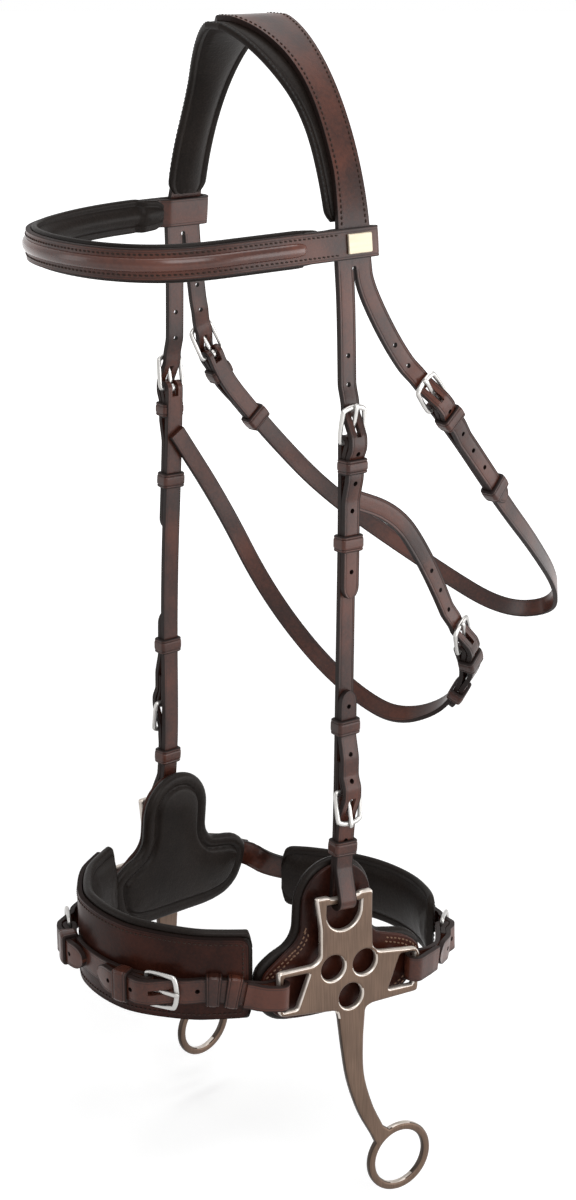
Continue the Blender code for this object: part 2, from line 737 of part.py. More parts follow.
def cheek_run():
    """Down the side of the head to the inner leg of the fold on the top bar."""
    foot = CHEEK.point(TOP_BAR_E, TOP_BAR_Z, -FOLD)
    above = foot + CHEEK.z * 0.042
    return Run(CHEEK_ROUTE + [(above, CHEEK.n, 0.35), (foot, CHEEK.n)])


def mirrored(corners):
    return [((-p[0], p[1], p[2]), (-o[0], o[1], o[2]), *rest) for p, o, *rest in corners]


def ring_route(points, z):
    """Corners of a level ring's left half, facing outward."""
    return [((x, y, z), (x * 0.75, y, 0.0), cut) for x, y, cut in points]


def nose_run(ease=None):
    """The front strap's line, or the smoother one of the band under it with an ease."""
    bar = CHEEK.point(-SIDE_BAR_E, SIDE_BAR_Z, -FOLD)
    level = (CHEEK.n[0], CHEEK.n[1], 0.0)
    start = [(bar, CHEEK.n), (bar - CHEEK.e * 0.010, level, 0.45)]
    left = start + ring_route(NOSE_ROUTE, NOSE_STRAP_Z)
    if ease:
        left = [(point, out, ease) for point, out, *_ in left]
    return Run(left + mirrored(left)[::-1])


def chin_run():
    """Behind the chin; the far side lies a little closer in than the near one."""
    bar = CHEEK.point(SIDE_BAR_E, SIDE_BAR_Z, -FOLD)
    start = [(bar, CHEEK.n), (bar + CHEEK.e * 0.018, CHEEK.n, 0.45)]
    near = start + ring_route(CHIN_ROUTE, CHIN_Z)
    far = mirrored(ring_route(FAR_CHIN_ROUTE, CHIN_Z) + start[::-1])
    corners = near + far
    for i in (2, len(corners) - 3):
        (x, y, _), *rest = corners[i]
        corners[i] = ((x, y, (bar[2] + CHIN_Z) / 2), *rest)
    return Run(corners)


def jowl_run(cheek):
    """From inside one cheekpiece, under the jaw, to inside the other."""
    inside = -(LEATHER + GAP)
    near = cheek.place(cheek.at_height(JOWL_NEAR_Z), inside, 0.0)
    far = cheek.place(cheek.at_height(JOWL_FAR_Z), inside, 0.0) * np.array([-1.0, 1.0, 1.0])
    return Run([(near, OUT_LEFT)] + JOWL_ROUTE + [(far, (-1.0, 0.0, 0.0))])


# Headpiece
CROWN_FLAT_SHARE = POLL_FLAT / 2 / CROWN_HALF_WIDTH
CROWN_RISE = ((POLL_PAD + GAP + HALF - CROWN_SIDE_Z)
              / (1.0 - CROWN_FLAT_SHARE ** CROWN_POWER) ** (1.0 / CROWN_POWER))
CROWN_REAR = CROWN_SIDE_Y + BROW_CROWN_WIDTH / 2


def arch(turn):
    """Leather's middle at an angle up the arch, and its outward way there."""
    share = math.cos(turn) ** (2.0 / CROWN_POWER)
    rise = math.sin(turn) ** (2.0 / CROWN_POWER)
    centre = np.array([CROWN_HALF_WIDTH * share, 0.0, CROWN_SIDE_Z + CROWN_RISE * rise])
    if share <= CROWN_FLAT_SHARE + 1e-6:
        return centre, np.array([0.0, 0.0, 1.0]), share
    power = CROWN_POWER - 1.0
    out = unit([share ** power / CROWN_HALF_WIDTH, 0.0, rise ** power / CROWN_RISE])
    return centre, out, share


def turn_at_rise(rise):
    """The angle at which the arch has risen this far above its foot."""
    return math.asin((rise / CROWN_RISE) ** (CROWN_POWER / 2.0))


def arch_turns(start, rows):
    """Angles up the side of the arch, with a level facet left at the very top."""
    flat = math.acos(CROWN_FLAT_SHARE ** (CROWN_POWER / 2.0))
    return np.linspace(start, flat, rows)


def crown_front(share, rise):
    """The leather's front edge: a little waisted on the side, swept forward on top."""
    side = CROWN_SIDE_Y - BROW_CROWN_WIDTH / 2
    side += CROWN_WAIST * min(1.0, rise / CROWN_WAIST_RISE)
    forward = max(0.0, 1.0 - share / CROWN_FRONT_SHARE) ** 1.6
    return side + (CROWN_FRONT - side) * forward


def pad_front(share):
    """The padding's front edge, which flares ahead of the leather's."""
    forward = 1.0 - min(1.0, share / POLL_PAD_FRONT_SHARE) ** 1.3
    return POLL_PAD_SIDE + (POLL_PAD_FRONT - POLL_PAD_SIDE) * forward


# The browband's loop lies on the straight first stretch of the arch
LOOP_STRAIGHT = BROW_FACE + 2 * LOOP_ROOM
LOOP_TURN = turn_at_rise(LOOP_STRAIGHT)
LOOP_FOOT, LOOP_HEAD = arch(0.0)[0], arch(LOOP_TURN)[0]
LOOP_UP = unit(LOOP_HEAD - LOOP_FOOT)
LOOP_OUT = np.array([LOOP_UP[2], 0.0, -LOOP_UP[0]])
LOOP_SPREAD = LEATHER + GAP


def brow_run():
    """Level round the forehead; its ends lie on the headpiece's sides."""
    loop = (LOOP_FOOT + LOOP_HEAD) / 2 + LOOP_OUT * LOOP_SPREAD
    left = []
    for y, x in BROW_ROUTE:
        if x is None:
            left.append(((loop[0], y, loop[2]), tuple(LOOP_OUT)))
        else:
            left.append(((x, y, loop[2] - BROW_DROP), (x * 1.4, y, 0.0)))
    return Run(left + mirrored(left)[::-1])


def crown_half(cheek, throat, upper_buckle, throat_buckle, throat_tip):
    """Rows of eight points from the two billets' tips up to the middle of the poll."""
    cheek_tip = cheek.at_height(UPPER_TIP_Z)
    made = []
    for run, buckle, tip in ((cheek, upper_buckle, cheek_tip), (throat, throat_buckle, throat_tip)):
        split = run.at_height(SPLIT_Z)
        path = sampled(billet_path(buckle, buckle.s - split, tip - buckle.s, 0.0))
        slot = [punch(path, buckle)]
        where, _ = strap_stations(np.asarray(path), slot, STRAP_WIDTH)
        made.append([run, path, slot, where])
    rows = max(len(m[3]) for m in made)
    for m in made:
        while len(m[3]) < rows:
            widest = int(np.argmax(np.diff(m[3])))
            m[3] = np.insert(m[3], widest + 1, (m[3][widest] + m[3][widest + 1]) / 2)
    grids = [strap_grid(run, path, STRAP_WIDTH, LEATHER, slot, STRAP_WIDTH, where)
             for run, path, slot, where in made]
    upper, lower, gaps = [], [], []
    for i in range(rows):
        upper.append(grids[0][0][i][::-1] + grids[1][0][i][::-1])
        lower.append(grids[0][1][i][::-1] + grids[1][1][i][::-1])
    for i, _ in grids[0][2]:
        gaps.append((rows - 2 - i, 1))
    for i, _ in grids[1][2]:
        gaps.append((rows - 2 - i, 5))
    upper, lower = upper[::-1], lower[::-1]
    gaps += [(i, 3) for i in range(rows - 1)]
    for turn in [0.0] + list(arch_turns(LOOP_TURN, ARCH_ROWS)):
        centre, out, share = arch(turn)
        front = crown_front(share, centre[2] - CROWN_SIDE_Z)
        spots = [billet_share(j) * (CROWN_REAR - front) + front for j in range(8)]
        places = [centre + np.array([0.0, y, 0.0]) for y in spots]
        upper.append([p + out * HALF for p in places])
        lower.append([p - out * HALF for p in places])
    return upper, lower, gaps


def billet_share(column):
    """Where each of the eight columns lies, as a share of the headpiece's width."""
    billet = STRAP_WIDTH / BROW_CROWN_WIDTH
    slot = PUNCH_WIDTH / BROW_CROWN_WIDTH
    half = [0.0, (billet - slot) / 2, (billet + slot) / 2, billet]
    return (half + [1.0 - share for share in half[::-1]])[column]


def crown_strap(cheek, throat, upper_buckle, throat_left, throat_right, far_throat):
    near = crown_half(cheek, throat, upper_buckle, throat_left[0], throat_left[1])
    far = crown_half(cheek, far_throat, upper_buckle, throat_right[0], throat_right[1])
    flip = np.array([-1.0, 1.0, 1.0])
    upper = near[0] + [[p * flip for p in row] for row in far[0][::-1]]
    lower = near[1] + [[p * flip for p in row] for row in far[1][::-1]]
    gaps = near[2] + [(len(upper) - 2 - i, j) for i, j in far[2]]
    verts, faces = slab(upper, lower, gaps)
    add_object("crown_strap", verts, faces, "leather")


def crown_padding():
    left = arch_turns(turn_at_rise(LOOP_STRAIGHT + POLL_PAD_END), ARCH_ROWS)
    top, foot = -HALF - GAP, -HALF - GAP - POLL_PAD
    edge = POLL_PAD * 0.4
    rings = []
    for side, turns in ((LEFT, left), (RIGHT, left[::-1])):
        for turn in turns:
            centre, out, share = arch(turn)
            front, rear = pad_front(share), CROWN_REAR + POLL_PAD_REAR
            section = [(top, front + edge), (top, rear - edge), (top - edge * 0.5, rear),
                       (foot + edge, rear), (foot, rear - edge * 1.4),
                       (foot, front + edge * 1.4), (foot + edge, front),
                       (top - edge * 0.5, front)]
            ring = [centre + out * n + np.array([0.0, y, 0.0]) for n, y in section]
            rings.append([(side * x, y, z) for x, y, z in ring])
    verts, faces = loft(rings)
    add_object("crown_padding", verts, faces, "padding")


# Browband
def browband(run):
    loop_line = (LOOP_FOOT + LOOP_HEAD) / 2 + LOOP_OUT * LOOP_SPREAD
    start = run.nearest((loop_line[0], CROWN_REAR, loop_line[2])) - LOOP_ROOM
    turn = LOOP_SPREAD
    deep = -2 * turn
    loop = [(start + BROW_CROWN_WIDTH + 0.0200, -LEATHER - GAP),
            (start + BROW_CROWN_WIDTH + 0.0060, -LEATHER - GAP - 0.0006),
            (start + BROW_CROWN_WIDTH + 0.0010, deep), (start, deep)]
    loop += [(start - turn * math.cos(t), deep / 2 - turn * math.sin(t))
             for t in np.radians(np.linspace(70, -70, 6))]
    path = loop + [(start, 0.0)]
    whole = path + [(run.length - s, n) for s, n in path[::-1]]
    verts, faces = ribbon(run, sampled(whole, 0.0100), BROW_FACE)
    band_piece = add_object("browband", verts, faces, "leather")
    ridge_start = start + BROW_CROWN_WIDTH + 0.0070
    stations = run.stations(ridge_start, run.length - ridge_start, 0.0100)
    base = HALF - 0.0008
    half = BROW_RIDGE / 2

    def crest(s):
        grow = min(1.0, (min(s - ridge_start, run.length - ridge_start - s) + 0.001) / 0.010)
        return [(base, -half), (base + 0.0012, -half), (base + 0.0012 + 0.0016 * grow, -half / 2),
                (base + 0.0012 + 0.0020 * grow, 0.0), (base + 0.0012 + 0.0016 * grow, half / 2),
                (base + 0.0012, half), (base, half)]

    ridge_verts, ridge_faces = sweep(run, stations, crest)
    fuse(band_piece, [add_object("ridge", ridge_verts, ridge_faces, "leather")])
    pad_start = start + BROW_CROWN_WIDTH + 0.0225
    stations = run.stations(pad_start, run.length - pad_start, 0.0100)
    top, foot, edge = -HALF - GAP, -HALF - GAP - BROW_PAD, 0.0018

    def pad(s):
        grow = min(1.0, 0.75 + min(s - pad_start, run.length - pad_start - s) / 0.060)
        high = BROW_PAD_HEIGHT / 2 * grow
        return [(top, -high + edge), (top, high - edge), (top - edge * 0.4, high),
                (foot + edge, high), (foot, high - edge), (foot, -high + edge),
                (foot + edge, -high), (top - edge * 0.4, -high)]

    verts, faces = sweep(run, stations, pad)
    add_object("browband_padding", verts, faces, "padding")
    middle = start + BROW_CROWN_WIDTH / 2
    outline = rounded_box((HALF + GAP, -PLATE_TALL / 2),
                          (HALF + GAP + PLATE_THICK, PLATE_TALL / 2), 0.0004, 2)
    span = (middle - PLATE_LONG / 2, middle + PLATE_LONG / 2)
    verts, faces = sweep(run, span, lambda s: outline)
    add_object("browband_plate", verts, faces, "plate")


# Cheekpieces
def cheekpiece(run, upper, lower, side):
    """From the upper buckle's fold down, round the top bar and up to the tip."""
    bar = run.nearest(CHEEK.point(TOP_BAR_E, TOP_BAR_Z, -FOLD))
    top = fold_path(upper, TURN_BACK + 0.004)[::-1]
    path = top + [(bar, 0.0)]
    for t in np.linspace(-90, 90, 9)[1:]:
        angle = math.radians(t)
        path.append((bar + FOLD * math.cos(angle), FOLD + FOLD * math.sin(angle)))
    tip = run.at_height(LOWER_TIP_Z)
    close = LEATHER + GAP
    billet = billet_path(lower, bar - lower.s - 0.0180, lower.s - tip, close)
    path = sampled(path + billet, 0.0150)
    slots = sorted([chape_slot(path, upper), punch(path, lower)])
    verts, faces = ribbon(run, path, STRAP_WIDTH, LEATHER, slots, STRAP_WIDTH)
    name = "left" if side > 0 else "right"
    strap = add_object("cheekpiece_" + name, verts, faces, "leather", side)
    chape = fold_path(lower, TURN_BACK)
    verts, faces = ribbon(run, chape, STRAP_WIDTH - 0.0004, CHAPE,
                          [chape_slot(chape, lower)])
    pieces = [add_object("chape", verts, faces, "leather", side)]
    keeper_top = close + LEATHER + GAP + HALF
    pieces.append(fixed_keeper(run, upper.s + KEEPER_AT, keeper_top, STRAP_WIDTH, side))
    fuse(strap, pieces)
    add_runner("upper_cheek_" + name, run, upper.s + UPPER_RUNNER, close + HALF, side=side)
    add_runner("lower_cheek_" + name, run, lower.s - LOWER_RUNNER, close + HALF, side=side)
    add_runner("cheek_foot_" + name, run, lower.s + FOOT_RUNNER, close + HALF, side=side)


# Throatlatch and jowl strap
def long_strap(name, run, near, far, pieces_at):
    """A strap with a buckle folded in at its near end, and at its far end if far."""
    path = fold_path(near, TURN_BACK + 0.004)[::-1]
    if far:
        path += fold_path(far, TURN_BACK + 0.004)
    else:
        path += [(run.length, 0.0)]
    path = sampled(path, STRAIGHT_PITCH if far else CURVED_PITCH)
    slots = [chape_slot(path, near)]
    if far:
        slots.append(chape_slot(path, far))
    verts, faces = ribbon(run, path, STRAP_WIDTH, LEATHER, slots)
    strap = add_object(name, verts, faces, "leather")
    top = 2 * (LEATHER + GAP) + HALF
    keepers = [fixed_keeper(run, s, top, STRAP_WIDTH) for s in pieces_at]
    fuse(strap, keepers)


def throat(run, near, far):
    long_strap("throat_strap", run, near, far, [near.s + KEEPER_AT, far.s - KEEPER_AT])
    top = LEATHER + GAP + HALF
    add_runner("throat_left", run, near.s + THROAT_RUNNER, top)
    add_runner("throat_right", run, far.s - FAR_THROAT_RUNNER, top)


def jowl(run, near):
    long_strap("jowl_strap", run, near, None, [near.s + KEEPER_AT])
    tip = near.s + JOWL_TIP
    path = sampled(billet_path(near, near.s, tip - near.s, 0.0), CURVED_PITCH)
    verts, faces = ribbon(run, path, STRAP_WIDTH, LEATHER, [punch(path, near)], STRAP_WIDTH)
    add_object("jowl_billet", verts, faces, "leather")
    add_runner("jowl", run, near.s + JOWL_RUNNER, LEATHER + GAP + HALF, length=0.0080)


# Noseband
def nose_height(run, s, side_z, front_z):
    """Height of an edge of the noseband that rises towards the front."""
    y = run.place(s, 0.0, 0.0)[1]
    front = run.place(run.length / 2, 0.0, 0.0)[1]
    share = min(1.0, max(0.0, (y + 0.050) / (front + 0.050)))
    return side_z + (front_z - side_z) * share ** 1.5


def noseband(run, strap_run):
    """The band lies inside the front strap, whose loops stand on the strap's line."""
    start = run.nearest((0.0800, NOSE_END_Y, NOSE_STRAP_Z))
    stations = list(run.stations(start, run.length - start, 0.0100))
    face = -HALF - NOSE_GAP

    def leather(s):
        high = nose_height(run, s, NOSE_TOP_SIDE, NOSE_TOP_FRONT)
        low = nose_height(run, s, NOSE_FOOT_SIDE, NOSE_FOOT_FRONT)
        return [(face, low), (face, high), (face - LEATHER, high), (face - LEATHER, low)]

    def pad(s):
        high = nose_height(run, s, NOSE_TOP_SIDE, NOSE_TOP_FRONT) + NOSE_PAD_PROUD
        low = nose_height(run, s, NOSE_FOOT_SIDE, NOSE_FOOT_FRONT) - NOSE_PAD_PROUD
        top = face - LEATHER - NOSE_GAP
        foot = top - NOSE_PAD
        edge = 0.0025
        return [(top, low + edge * 0.5), (top, high - edge * 0.5), (top - edge * 0.6, high),
                (foot + edge, high), (foot, high - edge * 1.5), (foot, low + edge * 1.5),
                (foot + edge, low), (top - edge * 0.6, low)]

    verts, faces = upright_sweep(run, stations, leather)
    piece = add_object("noseband_leather", verts, faces, "leather")
    loops = []
    for s in NOSE_LOOPS:
        for spot in (s, strap_run.length - s):
            foot = face - LEATHER / 2
            low = (foot + KEEPER_LEATHER / 2, -NOSE_STRAP_WIDTH / 2 - GAP)
            high = (HALF + NOSE_GAP, NOSE_STRAP_WIDTH / 2 + GAP)
            verts, faces = band(strap_run, spot - LOOP_HALF, spot + LOOP_HALF, low, high,
                                KEEPER_LEATHER)
            loops.append(add_object("loop", verts, faces, "leather"))
    fuse(piece, loops)
    ends = [start - NOSE_PAD_PROUD] + stations + [run.length - start + NOSE_PAD_PROUD]
    verts, faces = upright_sweep(run, ends, pad)
    add_object("noseband_padding", verts, faces, "padding")


def nose_straps(run, near, far):
    path = fold_path(near, TURN_BACK + 0.004)[::-1] + fold_path(far, TURN_BACK + 0.004)
    path = sampled(path, 0.0100)
    slots = [chape_slot(path, near), chape_slot(path, far)]
    verts, faces = ribbon(run, path, NOSE_STRAP_WIDTH, LEATHER, slots)
    strap = add_object("nose_strap", verts, faces, "leather")
    top = 2 * (LEATHER + GAP) + HALF
    spots = (near.s + KEEPER_AT, far.s - KEEPER_AT)
    fuse(strap, [fixed_keeper(run, s, top, NOSE_STRAP_WIDTH) for s in spots])
    fold = end_fold(0.0, 1, END_FOLD_TAIL)
    billet = fold[::-1] + billet_path(near, near.s - END_FOLD_CLOSE, NOSE_TIP, 0.0)
    billet = sampled(billet)
    for side, name in ((LEFT, "left"), (RIGHT, "right")):
        verts, faces = ribbon(run, billet, NOSE_STRAP_WIDTH, LEATHER,
                              [punch(billet, near)], NOSE_STRAP_WIDTH)
        add_object("nose_billet_" + name, verts, faces, "leather", side)


def end_fold(s, way, tail):
    """A strap end turned round a cheek's bar at s; it leaves along way.

    The inner layer lies at zero height and the turned end, tail long, outside it.
    """
    path = []
    for t in np.linspace(-90, 90, 9):
        x = FOLD * math.cos(math.radians(t))
        path.append((s - way * x, FOLD + FOLD * math.sin(math.radians(t))))
    path.append((s + way * END_FOLD_CLOSE, LEATHER + GAP))
    path.append((s + way * tail, LEATHER + GAP))
    return path


# Chin strap and pad
def chin(run, buckle):
    tab = end_fold(0.0, 1, END_FOLD_TAIL)[::-1] + fold_path(buckle, END_FOLD_CLOSE)
    path = sampled(tab, CURVED_PITCH)
    verts, faces = ribbon(run, path, CURB_STRAP_WIDTH, LEATHER, [chape_slot(path, buckle)])
    add_object("chin_tab", verts, faces, "leather")
    end = end_fold(run.length, -1, END_FOLD_TAIL)[::-1]
    path = end + billet_path(buckle, run.length - buckle.s - END_FOLD_CLOSE, CHIN_TIP, 0.0)
    path = sampled(path, CURVED_PITCH)
    verts, faces = ribbon(run, path, CURB_STRAP_WIDTH, LEATHER,
                          [punch(path, buckle)], CURB_STRAP_WIDTH)
    add_object("chin_strap", verts, faces, "leather")
    start, end = (run.nearest(spot) for spot in CHIN_PAD_ENDS)
    stations = run.stations(start, end, 0.0090)
    top = -HALF - NOSE_GAP
    high, edge = CHIN_PAD_HEIGHT / 2, 0.0030

    def pad(s):
        end_drop = max(0.0, 1.0 - min(s - start, end - s) / 0.010)
        foot = top - CHIN_PAD + 0.0030 * end_drop
        section = [(top, -high + edge), (top, high - edge), (top - edge * 0.5, high),
                   (foot + edge, high), (foot + edge * 0.5, high - edge * 1.2),
                   (foot, high - edge * 2.4), (foot, -high + edge * 2.4),
                   (foot + edge * 0.5, -high + edge * 1.2), (foot + edge, -high),
                   (top - edge * 0.5, -high)]
        return [(n, CHIN_Z + b) for n, b in section]

    verts, faces = upright_sweep(run, stations, pad)
    add_object("chin_pad", verts, faces, "padding")


# Hackamore cheeks
def cheek_outline():
    """Neck with two horns, two arms and a shank that sweeps back to the rein ring."""
    left, right = TOP_BAR_E - NECK_HALF, TOP_BAR_E + NECK_HALF
    notch = TOP_BAR_Z + BAR / 2
    top = notch + HORN_RISE
    shank = [(0.0031, -0.0270), (0.0050, -0.0470), (0.0086, -0.0686), (0.0166, -0.0900),
             (0.0262, -0.1070)]
    half = [0.0092, 0.0073, 0.0058, 0.0051, 0.0046]
    front, rear = [], []
    for i, (e, z) in enumerate(shank):
        a = shank[max(i - 1, 0)]
        b = shank[min(i + 1, len(shank) - 1)]
        de, dz = unit((b[0] - a[0], b[1] - a[1]))
        rear.append((e - dz * half[i], z + de * half[i]))
        front.append((e + dz * half[i], z - de * half[i]))
    start = math.degrees(math.atan2(rear[-1][1] - RING_Z, rear[-1][0] - RING_E))
    end = math.degrees(math.atan2(front[-1][1] - RING_Z, front[-1][0] - RING_E))
    ring = arc((RING_E, RING_Z), RING_OUTER, start - 6, end + 6 - 360, 26)
    points = [(left, top - 0.0012), (left + 0.0012, top), (left + HORN, top),
              (left + HORN + HORN_RISE, notch), (right - HORN - HORN_RISE, notch),
              (right - HORN, top), (right - 0.0012, top), (right, top - 0.0012),
              (0.0135, 0.0300), (0.0150, 0.0135), (0.0190, 0.0100),
              (ARM - 0.0030, 0.0072), (ARM, 0.0035), (ARM, -0.0195), (ARM - 0.0012, -0.0209),
              (0.0165, -0.0224), (0.0128, -0.0240)]
    points += rear + ring + front[::-1]
    points += [(-0.0075, -0.0225), (0.0045 - ARM, -0.0190), (0.0020 - ARM, -0.0165),
               (-ARM, 0.0070), (0.0015 - ARM, 0.0088), (-0.0245, 0.0092), (-0.0205, 0.0125),
               (-0.0215, 0.0300)]
    return points


def side_slot(way):
    """Slanted window inboard of an arm's bar, closed by the bar at the arm's end."""
    outer = way * (SIDE_BAR_E - BAR / 2)
    inner = way * (SIDE_BAR_E - BAR / 2 - SIDE_SLOT)
    low, high = SIDE_BAR_Z - SIDE_SLOT_HALF, SIDE_BAR_Z + SIDE_SLOT_HALF
    lean = SIDE_SLOT_SLANT
    return [(outer, low), (outer, high), (inner + lean, high), (inner - lean, low)]


def hackamore_cheek(side):
    curve = bpy.data.curves.new("cheek", "CURVE")
    curve.dimensions = "2D"
    curve.fill_mode = "BOTH"
    curve.extrude = CHEEK_METAL / 2 - CHEEK_EDGE
    curve.bevel_depth = CHEEK_EDGE
    curve.bevel_resolution = 0
    curve.offset = -CHEEK_EDGE
    slot_top = TOP_BAR_Z - BAR / 2
    half_round = arc((TOP_BAR_E, slot_top - TOP_SLOT_DEPTH), TOP_SLOT, 180, 360, 11)
    windows = [half_round + [(TOP_BAR_E + TOP_SLOT, slot_top), (TOP_BAR_E - TOP_SLOT, slot_top)]]
    windows += [side_slot(way) for way in (1, -1)]
    for e, z in ROUND_HOLES:
        windows.append(arc((e, z), ROUND_HOLE, 0, 342, 20))
    windows.append(arc((RING_E, RING_Z), RING_INNER, 0, 347, 28))
    for loop in [cheek_outline()] + windows:
        add_loop(curve, loop)
    flat = bpy.data.objects.new("cheek", curve)
    bpy.context.scene.collection.objects.link(flat)
    verts, faces = curve_solid(flat)
    placed = [CHEEK.point(e, z, n) for e, z, n in verts]
    name = "left" if side > 0 else "right"
    made = add_object("hackamore_cheek_" + name, placed, faces, "bronze", side)
    pivot = CHEEK.point(TOP_BAR_E, TOP_BAR_Z)
    set_origin(made, (side * pivot[0], pivot[1], pivot[2]))


def shield_outline(grow=0.0):
    """Bell shape: a dome over the neck that flares to a wide foot."""
    centre = TOP_BAR_E
    dome = SHIELD_DOME + grow
    foot, half = SHIELD_FOOT - grow, SHIELD_HALF + grow
    top = SHIELD_TOP + grow - dome
    head = arc((centre, top), dome, 0, 180, 13)
    flare = arc((centre - dome - 0.0140, 0.0300), 0.0140, 0, -62, 5)
    left = flare + [(-half + 0.0100, 0.0120 + grow), (-half, 0.0040 + grow),
                    (-half + 0.0010, -0.0060), (-half + 0.0060, foot + 0.0090),
                    (-half + 0.0150, foot + 0.0020), (-half + 0.0300, foot)]
    flare = arc((centre + dome + 0.0140, 0.0300), 0.0140, 242, 180, 5)
    right = [(half - 0.0300, foot), (half - 0.0150, foot + 0.0030),
             (half - 0.0050, foot + 0.0110), (half, -0.0040), (half, 0.0040 + grow),
             (half - 0.0100, 0.0120 + grow)] + flare
    return head + left + right


def cheek_shield(side):
    name = "left" if side > 0 else "right"
    pivot = CHEEK.point(TOP_BAR_E, TOP_BAR_Z)
    layers = (("cheek_shield_", "leather", SHIELD_BACK, SHIELD_LEATHER, 0.0),
              ("cheek_padding_", "padding", SHIELD_BACK + SHIELD_LEATHER + GAP, SHIELD_PAD,
               0.0025))
    for label, kind, back, thick, grow in layers:
        outline = shield_outline(grow)
        rings = [[(e, z, -back) for e, z in outline]]
        rings.append([(e, z, -back - thick * 0.6) for e, z in outline])
        inner = shield_outline(grow - 0.0030)
        rings.append([(e, z, -back - thick) for e, z in inner])
        rings = [[CHEEK.point(*p) for p in ring] for ring in rings]
        verts, faces = loft(rings)
        made = add_object(label + name, verts, faces, kind, side)
        set_origin(made, (side * pivot[0], pivot[1], pivot[2]))


def place_buckles(runs):
    """Every buckle, by name; the right cheekpiece's are mirrored from the left's."""
    base = WIRE + GAP + HALF
    chape_base = HALF + CHAPE_GAP + WIRE + GAP + CHAPE / 2
    cheek, throat_line, jowl_line = runs["cheek"], runs["throat"], runs["jowl"]
    far_throat, nose, chin_line = runs["far_throat"], runs["nose"], runs["chin"]
    upper_s, lower_s = cheek.at_height(UPPER_HINGE_Z), cheek.at_height(LOWER_HINGE_Z)
    near_s, far_s = throat_line.nearest(THROAT_BUCKLE), far_throat.nearest(FAR_THROAT_BUCKLE)
    nose_s = nose.nearest(NOSE_BUCKLE)
    return {
        "upper": Buckle(cheek, upper_s, 1, base, STRAP_WIDTH),
        "lower": Buckle(cheek, lower_s, -1, chape_base, STRAP_WIDTH, CHAPE),
        "throat_left": Buckle(throat_line, near_s, 1, base, STRAP_WIDTH),
        "throat_right": Buckle(throat_line, throat_line.length - far_s, -1, base, STRAP_WIDTH),
        "far_mirror": Buckle(far_throat, far_s, 1, base, STRAP_WIDTH),
        "jowl": Buckle(jowl_line, jowl_line.nearest(JOWL_BUCKLE), 1, base, STRAP_WIDTH),
        "nose_left": Buckle(nose, nose_s, 1, base, NOSE_STRAP_WIDTH),
        "nose_right": Buckle(nose, nose.length - nose_s, -1, base, NOSE_STRAP_WIDTH),
        "chin": Buckle(chin_line, chin_line.nearest(CHIN_BUCKLE), -1, base, CURB_STRAP_WIDTH),
    }


def build():
    clear_scene()
    cheek = cheek_run()
    runs = {"cheek": cheek, "throat": Run(THROAT_ROUTE), "jowl": jowl_run(cheek),
            "far_throat": Run(mirrored(THROAT_ROUTE)[::-1]), "nose": nose_run(),
            "chin": chin_run()}
    buckles = place_buckles(runs)
    near, far_mirror = buckles["throat_left"], buckles["far_mirror"]
    crown_strap(cheek, runs["throat"], buckles["upper"], (near, near.s + THROAT_TIP),
                (far_mirror, far_mirror.s + FAR_THROAT_TIP), runs["far_throat"])
    crown_padding()
    browband(brow_run())
    for side, name in ((LEFT, "left"), (RIGHT, "right")):
        cheekpiece(cheek, buckles["upper"], buckles["lower"], side)
        add_buckle("upper_cheek_" + name, buckles["upper"], side)
        add_buckle("lower_cheek_" + name, buckles["lower"], side)
        hackamore_cheek(side)
        cheek_shield(side)
    throat(runs["throat"], near, buckles["throat_right"])
    jowl(runs["jowl"], buckles["jowl"])
    noseband(nose_run(NOSE_EASE), runs["nose"])
    nose_straps(runs["nose"], buckles["nose_left"], buckles["nose_right"])
    chin(runs["chin"], buckles["chin"])
    for name in ("throat_left", "throat_right", "jowl", "nose_left", "nose_right", "chin"):
        add_buckle(name, buckles[name])


build()
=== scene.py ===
# %% [markdown]
# A hackamore bridle, dressed for its picture. The CAD model gives every piece its
# place. This lesson makes the leather, padding and metal that show around it:
# straps with creased edges, sewn pads, polished buckles and brushed metal cheeks.

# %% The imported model
import math

import bmesh
import bpy
import numpy as np
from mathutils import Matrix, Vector


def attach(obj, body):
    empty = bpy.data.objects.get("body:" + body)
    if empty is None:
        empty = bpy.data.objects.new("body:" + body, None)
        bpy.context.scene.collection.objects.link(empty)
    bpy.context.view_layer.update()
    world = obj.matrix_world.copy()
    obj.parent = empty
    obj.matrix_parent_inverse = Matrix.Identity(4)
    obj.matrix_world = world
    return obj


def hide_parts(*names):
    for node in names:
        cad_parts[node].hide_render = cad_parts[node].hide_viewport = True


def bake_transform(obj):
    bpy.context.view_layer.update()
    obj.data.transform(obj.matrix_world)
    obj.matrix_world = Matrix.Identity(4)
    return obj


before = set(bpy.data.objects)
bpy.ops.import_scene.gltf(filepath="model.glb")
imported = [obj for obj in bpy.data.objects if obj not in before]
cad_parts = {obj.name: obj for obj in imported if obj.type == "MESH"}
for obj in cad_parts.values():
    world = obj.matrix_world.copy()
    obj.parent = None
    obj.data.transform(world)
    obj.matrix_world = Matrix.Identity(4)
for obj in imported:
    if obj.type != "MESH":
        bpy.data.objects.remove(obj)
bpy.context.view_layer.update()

# %% [markdown]
# All sizes are the maker's own, in metres, and the same as in the CAD model, so that
# each piece lies exactly where its solid does. The ones below serve everywhere. Each
# other size stands in the first cell that needs it.

# %% Sizes of the leather
GAP = 0.0003
LEATHER = 0.0028
CHAPE = 0.0016
KEEPER_LEATHER = 0.0016
STRAP_WIDTH = 0.0108
NOSE_STRAP_WIDTH = 0.0150
CURB_STRAP_WIDTH = 0.0150
LEFT, RIGHT = 1.0, -1.0
SIDES = ((LEFT, "left"), (RIGHT, "right"))
CREASE = 0.0016
EDGE_ROUND = 0.0007
STITCH_PITCH = 0.0029
print("leather", LEATHER, "strap", STRAP_WIDTH, "chin strap", CURB_STRAP_WIDTH)

